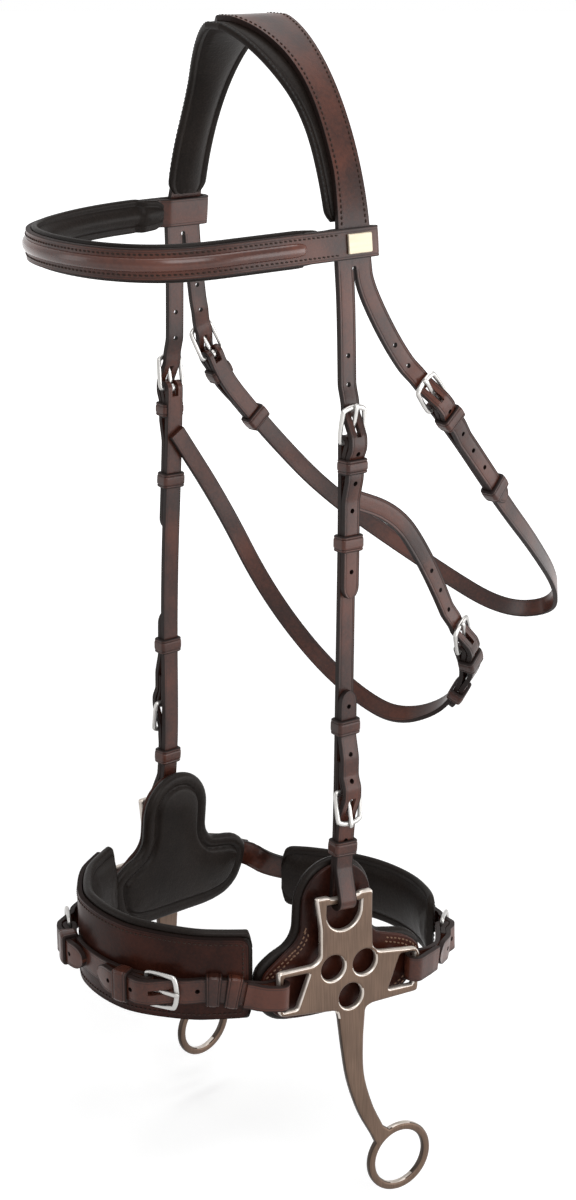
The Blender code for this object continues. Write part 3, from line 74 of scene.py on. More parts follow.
# %% [markdown]
# A strap follows a line through listed corners. Each corner is rounded with a
# parabola, because leather bends gently and stays straight where a buckle holds it.
# A point is then found by going along the line, outward from the horse and across.

# %% The line of a strap
RUN_PITCH = 0.0005
STRAIGHT_PITCH = 0.0120


def unit(v):
    v = np.asarray(v, float)
    return v / np.linalg.norm(v)


def distances(path):
    """Distance along a path at each of its points."""
    step = np.linalg.norm(np.diff(np.asarray(path, float), axis=0), axis=1)
    return np.concatenate([[0.0], np.cumsum(step)])


def parabola(a, b, c, count):
    """Points of the curve that leaves a and reaches c, and is drawn towards b."""
    return [(1 - t) ** 2 * a + 2 * t * (1 - t) * b + t * t * c
            for t in np.linspace(0.0, 1.0, count)]


def read(grid, travel, at):
    """What the columns of a grid of points are at one or more distances along it."""
    return np.stack([np.interp(at, travel, column) for column in np.asarray(grid).T], axis=-1)


class Run:
    """A strap's line through given corners, each cut by a parabola.

    A corner is (point, outward, cut). The stretches between cuts stay straight, so
    that buckles and keepers sit on flat leather. place(s, n, b) goes s along the
    line, n outward from the horse and b across the strap.
    """

    def __init__(self, corners, samples=12):
        points = [np.asarray(c[0], float) for c in corners]
        outs = [np.asarray(c[1], float) for c in corners]
        cuts = [c[2] if len(c) > 2 else 0.5 for c in corners]
        line, outward = [points[0]], [outs[0]]
        for i in range(1, len(points) - 1):
            for rows, done in ((points, line), (outs, outward)):
                before = rows[i] + (rows[i - 1] - rows[i]) * cuts[i]
                after = rows[i] + (rows[i + 1] - rows[i]) * cuts[i]
                done.extend(parabola(before, rows[i], after, samples))
        line.append(points[-1])
        outward.append(outs[-1])
        line, outward = np.array(line), np.array(outward)
        step = np.linalg.norm(np.diff(line, axis=0), axis=1)
        keep = np.concatenate([[True], step > 1e-7])
        line, outward = line[keep], outward[keep]
        travel = distances(line)
        self.length = float(travel[-1])
        self.s = np.linspace(0.0, self.length, int(self.length / RUN_PITCH) + 2)
        self.line, self.outward = read(line, travel, self.s), read(outward, travel, self.s)
        along = np.gradient(self.line, self.s, axis=0)
        self.along = along / np.linalg.norm(along, axis=1)[:, None]

    def frame(self, s):
        """Point, along, outward and across at s; straight on beyond both ends."""
        inside = min(max(s, 0.0), self.length)
        point, along, out = (read(grid, self.s, inside)
                             for grid in (self.line, self.along, self.outward))
        along = unit(along)
        out = unit(out - along * (out @ along))
        return point + along * (s - inside), along, out, np.cross(along, out)

    def place(self, s, n, b):
        point, _, out, across = self.frame(s)
        return point + out * n + across * b

    def upright(self, s, n, z):
        """A point at height z, n outward on the level, for pieces that stand upright."""
        point, _, out, _ = self.frame(s)
        level = unit((out[0], out[1], 0.0))
        return np.array([point[0] + level[0] * n, point[1] + level[1] * n, z])

    def nearest(self, point):
        """The distance along the run of the place nearest to a point."""
        apart = np.linalg.norm(self.line - np.asarray(point, float), axis=1)
        return float(self.s[int(np.argmin(apart))])

    def at_height(self, z):
        """The distance along the run's first falling stretch where it reaches a height."""
        last = int(np.argmin(self.line[:, 2])) + 1
        return float(np.interp(-z, -self.line[:last, 2], self.s[:last]))


def sampled(path, pitch=STRAIGHT_PITCH):
    """Adds points to long straight stretches so that a ribbon follows its run."""
    out = [path[0]]
    for a, b in zip(path[:-1], path[1:]):
        count = max(1, int(math.ceil(math.dist(a, b) / pitch)))
        for k in range(1, count + 1):
            out.append((a[0] + (b[0] - a[0]) * k / count, a[1] + (b[1] - a[1]) * k / count))
    return out


def arc(centre, radius, start, end, count):
    """Points of an arc in a flat plane, angles in degrees."""
    turn = np.radians(np.linspace(start, end, count))
    return [(centre[0] + radius * math.cos(t), centre[1] + radius * math.sin(t))
            for t in turn]


def round_box(low, high, radius, count):
    """A rectangle with round corners, from its low corner to its high one."""
    points = []
    for right, top, first in ((1, 0, -90), (1, 1, 0), (0, 1, 90), (0, 0, 180)):
        x = high[0] - radius if right else low[0] + radius
        y = high[1] - radius if top else low[1] + radius
        points += arc((x, y), radius, first, first + 90, count)
    return points


def all_round(count):
    """Angles evenly spaced round a circle."""
    return np.linspace(0.0, 2 * math.pi, count, endpoint=False)


print("a strap's line has a point every", RUN_PITCH, "m")

# %% [markdown]
# These are the routes of the straps on the horse's left side and round its jaw. A
# corner is a point, the way that the leather's outer face looks, and how much of
# the stretch to the next corner is rounded off.

# %% Routes of the straps
CROWN_HALF_WIDTH = 0.0773
CROWN_SIDE_Z = -0.1135
CROWN_SIDE_Y = 0.0103
BILLET_SLIT = 0.0014
BROW_CROWN_WIDTH = 2 * STRAP_WIDTH + BILLET_SLIT
OUT_LEFT = (1.0, 0.0, 0.0)
BILLET_OFF = (BROW_CROWN_WIDTH - STRAP_WIDTH) / 2
CHEEK_ROUTE = [
    ((CROWN_HALF_WIDTH, CROWN_SIDE_Y - BILLET_OFF, CROWN_SIDE_Z), OUT_LEFT),
    ((0.0783, 0.0055, -0.1400), OUT_LEFT),
    ((0.0812, 0.0050, -0.2350), OUT_LEFT),
    ((0.0845, 0.0012, -0.3350), OUT_LEFT),
]
THROAT_ROUTE = [
    ((CROWN_HALF_WIDTH, CROWN_SIDE_Y + BILLET_OFF, CROWN_SIDE_Z), OUT_LEFT),
    ((0.0780, 0.0178, -0.1280), OUT_LEFT),
    ((0.0797, 0.0370, -0.1620), OUT_LEFT),
    ((0.0800, 0.0565, -0.1850), OUT_LEFT, 0.30),
    ((0.0790, 0.0860, -0.2175), OUT_LEFT, 0.30),
    ((0.0740, 0.1280, -0.2665), (0.97, 0.25, 0.0)),
    ((0.0600, 0.1680, -0.3020), (0.85, 0.50, 0.0)),
    ((0.0340, 0.2160, -0.3430), (0.60, 0.80, -0.1)),
    ((0.0080, 0.2390, -0.3700), (0.10, 0.95, -0.3)),
    ((-0.0140, 0.2160, -0.3730), (-0.50, 0.80, -0.4)),
    ((-0.0380, 0.1800, -0.3450), (-0.75, 0.60, -0.3)),
    ((-0.0660, 0.1130, -0.2900), (-0.95, 0.30, -0.1)),
    ((-0.0775, 0.0760, -0.2480), (-1.0, 0.0, 0.0)),
    ((-0.0795, 0.0410, -0.2070), (-1.0, 0.0, 0.0), 0.30),
    ((-0.0797, 0.0235, -0.1660), (-1.0, 0.0, 0.0), 0.30),
    ((-0.0780, 0.0178, -0.1280), (-1.0, 0.0, 0.0)),
    ((-CROWN_HALF_WIDTH, CROWN_SIDE_Y + BILLET_OFF, CROWN_SIDE_Z), (-1.0, 0.0, 0.0)),
]
JOWL_ROUTE = [
    ((0.0786, 0.0420, -0.2560), OUT_LEFT),
    ((0.0805, 0.0620, -0.2850), OUT_LEFT),
    ((0.0795, 0.0800, -0.3180), (0.95, 0.30, 0.0), 0.35),
    ((0.0690, 0.1090, -0.3660), (0.95, 0.30, 0.0), 0.30),
    ((0.0480, 0.1120, -0.3960), (0.60, 0.60, -0.5)),
    ((0.0200, 0.0990, -0.4100), (0.25, 0.75, -0.6)),
    ((-0.0130, 0.0960, -0.4060), (-0.20, 0.75, -0.6)),
    ((-0.0420, 0.0820, -0.3830), (-0.60, 0.65, -0.45)),
    ((-0.0650, 0.0600, -0.3400), (-0.90, 0.35, -0.2)),
    ((-0.0786, 0.0380, -0.2855), (-1.0, 0.10, 0.0)),
]
BROW_ROUTE = [(0.0500, None), (-0.0400, None), (-0.0960, 0.0665), (-0.1240, 0.0300)]
NOSE_ROUTE = [(0.0690, -0.0735, 0.40), (0.0580, -0.0885, 0.25), (0.0300, -0.1085, 0.25),
              (0.0100, -0.1130, 0.5)]
CHIN_ROUTE = [(0.0740, 0.0850, 0.35), (0.0480, 0.1085, 0.35), (0.0180, 0.1180, 0.5)]
FAR_CHIN_ROUTE = [(0.0200, 0.1130, 0.5), (0.0560, 0.0900, 0.35), (0.0745, 0.0690, 0.35)]
print("corners: throat", len(THROAT_ROUTE), "jowl", len(JOWL_ROUTE))

# %% [markdown]
# The metal cheek leans a little with the horse's face, so it has its own directions:
# rearward, up its neck and outward. Straps that fold round its bars start from it.

# %% The cheek's own directions and the long runs
CHEEK_CENTRE = (0.0920, 0.0, -0.5200)
CHEEK_YAW = math.radians(7.0)
CHEEK_TILT = math.radians(-4.0)
CHEEK_LEAN = math.radians(1.7)
TOP_BAR_E = -0.0065
TOP_BAR_Z = 0.0462
SIDE_BAR_E = 0.0465
SIDE_BAR_Z = -0.0054
BAR_FOLD = 0.0035
NOSE_STRAP_Z = -0.5170
CHIN_Z = -0.5400
JOWL_NEAR_Z = -0.2400
JOWL_FAR_Z = -0.2350


class CheekFrame:
    """The hackamore cheek's own frame: e rearward, z up its neck, n outward."""

    def __init__(self):
        self.centre = np.array(CHEEK_CENTRE)
        level = np.array([math.sin(CHEEK_YAW), math.cos(CHEEK_YAW), 0.0])
        facing = np.array([math.cos(CHEEK_YAW), -math.sin(CHEEK_YAW), 0.0])
        up = np.array([0.0, 0.0, 1.0])
        lean = up * math.cos(CHEEK_LEAN) - facing * math.sin(CHEEK_LEAN)
        self.n = facing * math.cos(CHEEK_LEAN) + up * math.sin(CHEEK_LEAN)
        self.e = level * math.cos(CHEEK_TILT) + lean * math.sin(CHEEK_TILT)
        self.z = lean * math.cos(CHEEK_TILT) - level * math.sin(CHEEK_TILT)

    def point(self, e, z, n=0.0):
        return self.centre + self.e * e + self.z * z + self.n * n


CHEEK = CheekFrame()
HALF = LEATHER / 2
FOLD = BAR_FOLD + HALF


def cheek_run():
    """Down the side of the head to the inner leg of the fold on the top bar."""
    foot = CHEEK.point(TOP_BAR_E, TOP_BAR_Z, -FOLD)
    above = foot + CHEEK.z * 0.042
    return Run(CHEEK_ROUTE + [(above, CHEEK.n, 0.35), (foot, CHEEK.n)])


def mirrored(corners):
    return [((-p[0], p[1], p[2]), (-o[0], o[1], o[2]), *rest) for p, o, *rest in corners]


def ring_route(points, z):
    """Corners of a level ring's left half, facing outward."""
    return [((x, y, z), (x * 0.75, y, 0.0), cut) for x, y, cut in points]


def nose_run(ease=None):
    """The front strap's line, or the smoother one of the band under it with an ease."""
    bar = CHEEK.point(-SIDE_BAR_E, SIDE_BAR_Z, -FOLD)
    level = (CHEEK.n[0], CHEEK.n[1], 0.0)
    start = [(bar, CHEEK.n), (bar - CHEEK.e * 0.010, level, 0.45)]
    left = start + ring_route(NOSE_ROUTE, NOSE_STRAP_Z)
    if ease:
        left = [(point, out, ease) for point, out, *_ in left]
    return Run(left + mirrored(left)[::-1])


def chin_run():
    """Behind the chin; the far side lies a little closer in than the near one."""
    bar = CHEEK.point(SIDE_BAR_E, SIDE_BAR_Z, -FOLD)
    start = [(bar, CHEEK.n), (bar + CHEEK.e * 0.018, CHEEK.n, 0.45)]
    near = start + ring_route(CHIN_ROUTE, CHIN_Z)
    far = mirrored(ring_route(FAR_CHIN_ROUTE, CHIN_Z) + start[::-1])
    corners = near + far
    for i in (2, len(corners) - 3):
        (x, y, _), *rest = corners[i]
        corners[i] = ((x, y, (bar[2] + CHIN_Z) / 2), *rest)
    return Run(corners)


def jowl_run(cheek):
    """From inside one cheekpiece, under the jaw, to inside the other."""
    inside = -(LEATHER + GAP)
    near = cheek.place(cheek.at_height(JOWL_NEAR_Z), inside, 0.0)
    far = cheek.place(cheek.at_height(JOWL_FAR_Z), inside, 0.0) * np.array([-1.0, 1.0, 1.0])
    return Run([(near, OUT_LEFT)] + JOWL_ROUTE + [(far, (-1.0, 0.0, 0.0))])


print("the cheek faces", np.round(CHEEK.n, 3))

# %% [markdown]
# The headpiece is a pointed arch over the poll. One formula gives its leather and
# the padding under it, and also the place where the browband's loops lie.

# %% The headpiece's arch
CROWN_POWER = 1.7
CROWN_WAIST = 0.0047
CROWN_WAIST_RISE = 0.0450
CROWN_FRONT = -0.0200
CROWN_FRONT_SHARE = 0.65
POLL_PAD = 0.0050
POLL_PAD_SIDE = -0.0035
POLL_PAD_FRONT = -0.0250
POLL_PAD_FRONT_SHARE = 0.70
POLL_FLAT = 0.0120
BROW_FACE = 0.0160
BROW_DROP = 0.0030
LOOP_ROOM = 0.0010
CROWN_FLAT_SHARE = POLL_FLAT / 2 / CROWN_HALF_WIDTH
CROWN_RISE = ((POLL_PAD + GAP + HALF - CROWN_SIDE_Z)
              / (1.0 - CROWN_FLAT_SHARE ** CROWN_POWER) ** (1.0 / CROWN_POWER))
CROWN_REAR = CROWN_SIDE_Y + BROW_CROWN_WIDTH / 2


def arch(turn):
    """Leather's middle at an angle up the arch, and its outward way there."""
    share = math.cos(turn) ** (2.0 / CROWN_POWER)
    rise = math.sin(turn) ** (2.0 / CROWN_POWER)
    centre = np.array([CROWN_HALF_WIDTH * share, 0.0, CROWN_SIDE_Z + CROWN_RISE * rise])
    if share <= CROWN_FLAT_SHARE + 1e-6:
        return centre, np.array([0.0, 0.0, 1.0]), share
    power = CROWN_POWER - 1.0
    out = unit([share ** power / CROWN_HALF_WIDTH, 0.0, rise ** power / CROWN_RISE])
    return centre, out, share


def turn_at_rise(rise):
    """The angle at which the arch has risen this far above its foot."""
    return math.asin((rise / CROWN_RISE) ** (CROWN_POWER / 2.0))


def arch_turns(start, rows):
    """Angles up the side of the arch, with a level facet left at the very top."""
    flat = math.acos(CROWN_FLAT_SHARE ** (CROWN_POWER / 2.0))
    return np.linspace(start, flat, rows)


def crown_front(share, rise):
    """The leather's front edge: a little waisted on the side, swept forward on top."""
    side = CROWN_SIDE_Y - BROW_CROWN_WIDTH / 2
    side += CROWN_WAIST * min(1.0, rise / CROWN_WAIST_RISE)
    forward = max(0.0, 1.0 - share / CROWN_FRONT_SHARE) ** 1.6
    return side + (CROWN_FRONT - side) * forward


def pad_front(share):
    """The padding's front edge, which flares ahead of the leather's."""
    forward = 1.0 - min(1.0, share / POLL_PAD_FRONT_SHARE) ** 1.3
    return POLL_PAD_SIDE + (POLL_PAD_FRONT - POLL_PAD_SIDE) * forward


# The browband's loop lies on the straight first stretch of the arch
LOOP_STRAIGHT = BROW_FACE + 2 * LOOP_ROOM
LOOP_TURN = turn_at_rise(LOOP_STRAIGHT)
LOOP_FOOT, LOOP_HEAD = arch(0.0)[0], arch(LOOP_TURN)[0]
LOOP_UP = unit(LOOP_HEAD - LOOP_FOOT)
LOOP_OUT = np.array([LOOP_UP[2], 0.0, -LOOP_UP[0]])
LOOP_SPREAD = LEATHER + GAP


def brow_run():
    """Level round the forehead; its ends lie on the headpiece's sides."""
    loop = (LOOP_FOOT + LOOP_HEAD) / 2 + LOOP_OUT * LOOP_SPREAD
    left = []
    for y, x in BROW_ROUTE:
        if x is None:
            left.append(((loop[0], y, loop[2]), tuple(LOOP_OUT)))
        else:
            left.append(((x, y, loop[2] - BROW_DROP), (x * 1.4, y, 0.0)))
    return Run(left + mirrored(left)[::-1])


print("the headpiece rises", round(CROWN_RISE, 4), "m")

# %% [markdown]
# Every buckle has the same parts: a hinge bar in the strap's fold, a bowed front bar
# and a tongue. The strap's own path bends round them, under the front bar and over
# the fold, so all of those heights are worked out from the buckle's.

# %% Where a buckle sits, and the straps' paths round it
WIRE = 0.0013
BUCKLE_LENGTH = 0.0190
FRONT_BAR_LIFT = 0.0025
TURN_BACK = 0.0180
FOLD_CLOSE = 0.0080
BILLET_RISE = 0.0110
END_FOLD_CLOSE = 0.0140


class Buckle:
    """A buckle on a run. way is +1 if the billet travels with s, else -1."""

    def __init__(self, run, s, way, base, width, under=LEATHER):
        self.run, self.s, self.way, self.base = run, s, way, base
        self.width, self.under = width, under
        self.half = width / 2 + 0.0008 + WIRE
        self.fold = WIRE + GAP + under / 2
        self.fold_top = base + WIRE + GAP + under
        self.origin, self.along, self.out, self.across = run.frame(s)

    def point(self, x, n, b):
        return self.origin - self.way * self.along * x + self.out * n + self.across * b


def half_turn(s, n, radius, way):
    """Points round a bar at (s, n), from its inner side to its outer one."""
    return [(s - way * radius * math.cos(t), n + radius * math.sin(t))
            for t in np.radians(np.linspace(-90, 90, 9))]


def fold_path(buckle, tail):
    """Path of a strap that wraps the hinge bar and turns back on itself.

    It starts tail away on the inner layer, which lies one fold below the bar.
    """
    s, way, base, fold = buckle.s, buckle.way, buckle.base, buckle.fold
    close = base - fold + buckle.under + GAP
    return ([(s + way * tail, base - fold)] + half_turn(s, base, fold, way)
            + [(s + way * FOLD_CLOSE, close), (s + way * TURN_BACK, close)])


def billet_path(buckle, before, after, rest, rise=BILLET_RISE):
    """A billet under the front bar, over the hinge fold and on down its strap.

    before and after are distances from the hinge bar, against and with the
    billet; rest is its height before the buckle, and rise how far ahead of the
    front bar it starts to lift.
    """
    s, way = buckle.s, buckle.way
    half = LEATHER / 2
    under_front = buckle.base + FRONT_BAR_LIFT - WIRE - GAP - half
    over_fold = buckle.fold_top + GAP + half
    close = buckle.base - buckle.fold + buckle.under * 1.5 + 2 * GAP + half
    shape = [(-before, rest), (-BUCKLE_LENGTH - rise, rest),
             (-BUCKLE_LENGTH - 0.0020, under_front), (-BUCKLE_LENGTH + 0.0030, under_front),
             (-0.0030, over_fold), (0.0030, over_fold),
             (FOLD_CLOSE + 0.0010, close), (TURN_BACK + 0.0020, close),
             (TURN_BACK + 0.0140, LEATHER + GAP), (after, LEATHER + GAP)]
    shape = [p for p in shape if -before <= p[0] <= after]
    return [(s + way * x, n) for x, n in shape]


def end_fold(s, way, tail):
    """A strap end turned round a cheek's bar at s; it leaves along way.

    The inner layer lies at zero height and the turned end, tail long, outside it.
    """
    close = LEATHER + GAP
    return half_turn(s, FOLD, FOLD, way) + [(s + way * END_FOLD_CLOSE, close),
                                            (s + way * tail, close)]


print("a buckle is", BUCKLE_LENGTH, "m long, its wire", 2 * WIRE)

# %% [markdown]
# A tongue needs a slot to come up through, in the billet and in the fold round the
# hinge bar. These helpers say where along a path the slots and round holes lie.

# %% Slots for the tongue
CHAPE_SLOT = 0.0044
SLOT_FAR, SLOT_NEAR, SLOT_WIDTH = 0.0136, 0.0030, 0.0028


def punch(path, buckle):
    """The billet's slot, on its last pass by the buckle: the layer with the tip."""
    travel = distances(path)
    x = (path[:, 0] - buckle.s) * buckle.way
    first = int(np.argmin(x))
    ends = np.interp([-SLOT_FAR, -SLOT_NEAR], x[first:], travel[first:])
    return (ends[0], ends[1], SLOT_WIDTH)


def chape_slot(path, buckle):
    """The fold's slot, in which the tongue's eye turns."""
    travel = distances(path)
    off = path[:, 0] - buckle.s + buckle.way * buckle.fold
    nose = int(np.argmin(np.hypot(off, path[:, 1] - buckle.base)))
    reach = math.pi / 2 * buckle.fold + 0.0042
    return (travel[nose] - reach, travel[nose] + reach, CHAPE_SLOT)


def punched_at(path, buckle, steps):
    """Distances along a path of round holes, given as steps from the hinge bar."""
    travel = distances(path)
    x = (path[:, 0] - buckle.s) * buckle.way
    first = int(np.argmin(x))
    return [float(np.interp(step, x[first:], travel[first:])) for step in steps]


print("slot for a tongue", SLOT_FAR - SLOT_NEAR, "m long")

# %% [markdown]
# Colour, gloss and grain come from nodes. Sums of sockets are easier to read as
# plain sums, so a small class lets Python's own signs add the Math nodes.

# %% A socket that can be added and multiplied
class Value:
    """A shader socket that Python's signs work on."""

    def __init__(self, nodes, socket):
        self.nodes, self.socket = nodes, socket

    def math(self, operation, first, second=0.0):
        return self.nodes.node("Math", {"operation": operation}, {0: first, 1: second})

    def __add__(self, other):
        return self.math("ADD", self, other)

    __radd__ = __add__

    def __sub__(self, other):
        return self.math("SUBTRACT", self, other)

    def __rsub__(self, other):
        return self.math("SUBTRACT", other, self)

    def __mul__(self, other):
        return self.math("MULTIPLY", self, other)

    __rmul__ = __mul__

    def __abs__(self):
        return self.math("ABSOLUTE", self)

    def rise(self, low, high):
        """0 below low, 1 above high and a soft step between."""
        return self.nodes.node("MapRange", {"interpolation_type": "SMOOTHSTEP"},
                               {0: self, 1: low, 2: high, 3: 0.0, 4: 1.0})


print("Python's signs now add Math nodes")

# %% One method for every other node
class Nodes:
    """A tree of nodes, of a material or of the world."""

    def __init__(self, tree):
        self.tree = tree

    def plug(self, socket, value):
        if isinstance(value, Value):
            self.tree.links.new(value.socket, socket)
        else:
            socket.default_value = value

    def node(self, kind, settings=None, values=None, out=0):
        made = self.tree.nodes.new("ShaderNode" + kind)
        for name, setting in (settings or {}).items():
            setattr(made, name, setting)
        for socket, value in (values or {}).items():
            self.plug(made.inputs[socket], value)
        return Value(self, made.outputs[out])


class Finish(Nodes):
    """A material; fixed values go straight onto the shader's own sockets."""

    def __init__(self, name, **fixed):
        self.material = bpy.data.materials.new(name)
        self.material.use_nodes = True
        super().__init__(self.material.node_tree)
        self.shader = self.tree.nodes["Principled BSDF"]
        for socket, value in fixed.items():
            self.shader.inputs[socket.replace("_", " ")].default_value = value

    def drive(self, socket, value):
        self.plug(self.shader.inputs[socket], value)

    def place(self, stretch=(1.0, 1.0, 1.0)):
        """The piece's own coordinates, in metres, stretched along each way."""
        own = self.node("TexCoord", out="Object")
        return self.node("VectorMath", {"operation": "MULTIPLY"}, {0: own, 1: stretch})

    def noise(self, place, scale, detail=3.0):
        return self.node("TexNoise", {}, {"Vector": place, "Scale": scale, "Detail": detail})

    def cells(self, place, scale):
        return self.node("TexVoronoi", {"feature": "SMOOTH_F1"},
                         {"Vector": place, "Scale": scale, "Smoothness": 0.6})

    def margin(self):
        """How far a point of a strap lies from its nearest edge, in metres."""
        spread = self.node("UVMap", {"uv_map": "strap"})
        return self.node("SeparateXYZ", {}, {0: spread}, 1)

    def mix(self, first, second, share):
        return self.node("Mix", {"data_type": "RGBA"}, {0: share, 6: first, 7: second}, 2)

    def bump(self, height, depth, under=None):
        values = {"Height": height, "Distance": depth, "Strength": 1.0}
        if under is not None:
            values["Normal"] = under
        return self.node("Bump", {}, values)


print("one class for sums, one for nodes")

# %% [markdown]
# Bridle leather is dyed a dark brown that is redder where the light catches it. It
# is smooth, with pores too small to see from afar, a waxed shine and edges that are
# dyed nearly black. A pressed crease runs beside each edge.

# %% Brown bridle leather
DARK_HIDE = (0.020, 0.0070, 0.0050, 1.0)
WARM_HIDE = (0.078, 0.0215, 0.0115, 1.0)
EDGE_DYE = (0.0060, 0.0035, 0.0030, 1.0)


def bridle_leather(name, dark, warm, roughness=0.30, coat=0.20, gloss=0.20):
    finish = Finish(name, Coat_Roughness=0.20, Specular_IOR_Level=gloss)
    place = finish.place()
    cloud = finish.noise(place, 26.0, 3.0)
    fine = finish.noise(place, 520.0, 4.0)
    pores = finish.cells(place, 1500.0)
    margin = finish.margin()
    rim = 1.0 - margin.rise(0.0003, 0.0010)
    crease = 1.0 - abs(margin - CREASE).rise(0.0001, 0.0005)
    warmth = (cloud * 1.5 + fine * 0.5 - 0.5).rise(0.15, 0.85)
    colour = finish.mix(dark, warm, warmth)
    colour = finish.mix(colour, EDGE_DYE, rim * 0.9)
    colour = finish.mix(colour, EDGE_DYE, crease * 0.55)
    finish.drive("Base Color", colour)
    finish.drive("Roughness", roughness + fine * 0.14 + crease * 0.1 + rim * 0.25)
    finish.drive("Coat Weight", coat * (1.0 - rim) * (0.7 + cloud * 0.6))
    grain = finish.bump(pores, 0.000045)
    finish.drive("Normal", finish.bump(fine, 0.00006, grain))
    return finish.material


LEATHER_FINISH = bridle_leather("bridle_leather", dark=DARK_HIDE, warm=WARM_HIDE)
GLOSSY_LEATHER = bridle_leather("polished_ridge_leather", dark=(0.040, 0.0120, 0.0080, 1.0),
                                warm=(0.100, 0.0270, 0.0140, 1.0), roughness=0.16, coat=0.5)
# Painted shade: a darker copy of the bridle leather, for the noseband and the shields.
PAINTED_SHADE_LEATHER = bridle_leather("painted_shade_bridle_leather", dark=(0.0120, 0.0038, 0.0027, 1.0),
                              warm=(0.0400, 0.0105, 0.0060, 1.0), coat=0.10, gloss=0.06)
print("leather", LEATHER_FINISH.name, GLOSSY_LEATHER.name, PAINTED_SHADE_LEATHER.name)

# %% [markdown]
# The padding is covered in soft black leather with a pebbled grain. It is matt, so
# it shows its roundness only by a faint sheen along the rolls.

# %% Soft black padding
def soft_padding(name):
    finish = Finish(name, Specular_IOR_Level=0.07, Coat_Roughness=0.30)
    place = finish.place()
    cloud = finish.noise(place, 30.0, 3.0)
    pebble = finish.cells(place, 950.0)
    wrinkle = finish.noise(place, 160.0, 3.0)
    tone = (cloud * 0.7 + pebble * 0.5).rise(0.2, 0.9)
    finish.drive("Base Color", finish.mix((0.0042, 0.0027, 0.0021, 1.0),
                                          (0.0120, 0.0082, 0.0064, 1.0), tone))
    finish.drive("Roughness", 0.40 + cloud * 0.16)
    finish.drive("Coat Weight", 0.04 + cloud * 0.08)
    grain = finish.bump(pebble, 0.00012)
    finish.drive("Normal", finish.bump(wrinkle, 0.00025, grain))
    return finish.material


PADDING_FINISH = soft_padding("black_padding")
print("padding", PADDING_FINISH.name)

# %% [markdown]
# Three metals: polished steel for the buckles, brown-plated steel with a fine
# vertical brushing for the cheeks, and a pale gold plate. On the cheeks a brighter
# metal on the edges that face up or forward is painted highlight, and a darker one
# on the sides is painted shade.

# %% Metals
def metal(name, dull, bright, roughness, metallic, scale, depth, stretch=(1.0, 1.0, 1.0)):
    """Metal whose colour, gloss and grain follow fine lines of noise."""
    finish = Finish(name, Metallic=metallic)
    place = finish.place(stretch)
    lines = finish.noise(place, scale, 4.0)
    cloud = finish.noise(finish.place(), 40.0, 2.0)
    worn = (lines * 0.6 + cloud * 0.4).rise(0.3, 0.7)
    finish.drive("Base Color", finish.mix(dull, bright, worn))
    finish.drive("Roughness", roughness + lines * 0.10 + cloud * 0.06)
    finish.drive("Normal", finish.bump(lines, depth))
    return finish.material


BRUSHED = (9.0, 9.0, 0.25)
STEEL = metal("polished_steel", (0.42, 0.41, 0.395, 1.0), (0.52, 0.505, 0.49, 1.0),
              roughness=0.22, metallic=0.9, scale=60.0, depth=0.000002)
BROWN_METAL = metal("brushed_brown_metal", (0.090, 0.056, 0.038, 1.0), (0.142, 0.090, 0.062, 1.0),
                    roughness=0.34, metallic=0.6, scale=160.0, depth=0.00002, stretch=BRUSHED)
# Painted shade: a darker brown metal for the cheek's sides, chosen by which way each face points.
PAINTED_SHADE_METAL = metal("painted_shade_brown_metal", (0.040, 0.030, 0.025, 1.0), (0.066, 0.050, 0.042, 1.0),
                   roughness=0.30, metallic=1.0, scale=120.0, depth=0.00002)
# Painted highlight: a brighter metal for the cheek edges that face up or forward.
PAINTED_HIGHLIGHT_METAL = metal("painted_highlight_metal", (0.46, 0.40, 0.345, 1.0), (0.60, 0.545, 0.50, 1.0),
                    roughness=0.22, metallic=0.7, scale=200.0, depth=0.000005)
PALE_GOLD = metal("pale_gold_plate", (0.40, 0.345, 0.25, 1.0), (0.49, 0.43, 0.33, 1.0),
                  roughness=0.36, metallic=0.6, scale=120.0, depth=0.000003,
                  stretch=(4.0, 0.5, 4.0))
print("metals", STEEL.name, BROWN_METAL.name, PAINTED_HIGHLIGHT_METAL.name, PALE_GOLD.name)

# %% [markdown]
# Thread is waxed linen: brown on the leather, lighter on the cheek shields, black on
# the padding. Its twist is a fine slanted ripple.

# %% Waxed thread
def thread(name, colour, light):
    finish = Finish(name, Specular_IOR_Level=0.15)
    twist = finish.noise(finish.place((1.0, 1.0, 1.6)), 1800.0, 2.0)
    finish.drive("Base Color", finish.mix(colour, light, twist.rise(0.3, 0.7)))
    finish.drive("Roughness", 0.5 + twist * 0.2)
    finish.drive("Normal", finish.bump(twist, 0.00008))
    return finish.material


BROWN_THREAD = thread("brown_thread", (0.008, 0.004, 0.003, 1.0), (0.034, 0.018, 0.012, 1.0))
LIGHT_THREAD = thread("light_brown_thread", (0.10, 0.055, 0.035, 1.0), (0.22, 0.13, 0.085, 1.0))
BLACK_THREAD = thread("black_thread", (0.010, 0.010, 0.010, 1.0), (0.035, 0.033, 0.032, 1.0))
print("threads", BROWN_THREAD.name, LIGHT_THREAD.name, BLACK_THREAD.name)

# %% [markdown]
# Every piece goes through one maker. It turns the faces outward, rounds its sharp edges as a
# leather worker's edge tool does, keeps flat faces flat in the shading, and ties the
# piece to the CAD body that it moves with.

# %% The maker of pieces
def add(name, data):
    """A new object in the scene, from a mesh, curve, lamp or camera."""
    made = bpy.data.objects.new(name, data)
    bpy.context.scene.collection.objects.link(made)
    return made


def as_shown(thing):
    """The mesh that an object shows, with its modifiers."""
    bpy.context.view_layer.update()
    graph = bpy.context.evaluated_depsgraph_get()
    return bpy.data.meshes.new_from_object(thing.evaluated_get(graph))


def settle(thing):
    """Applies the piece's modifiers, so that its mesh is final."""
    final = as_shown(thing)
    thing.modifiers.clear()
    thing.data = final


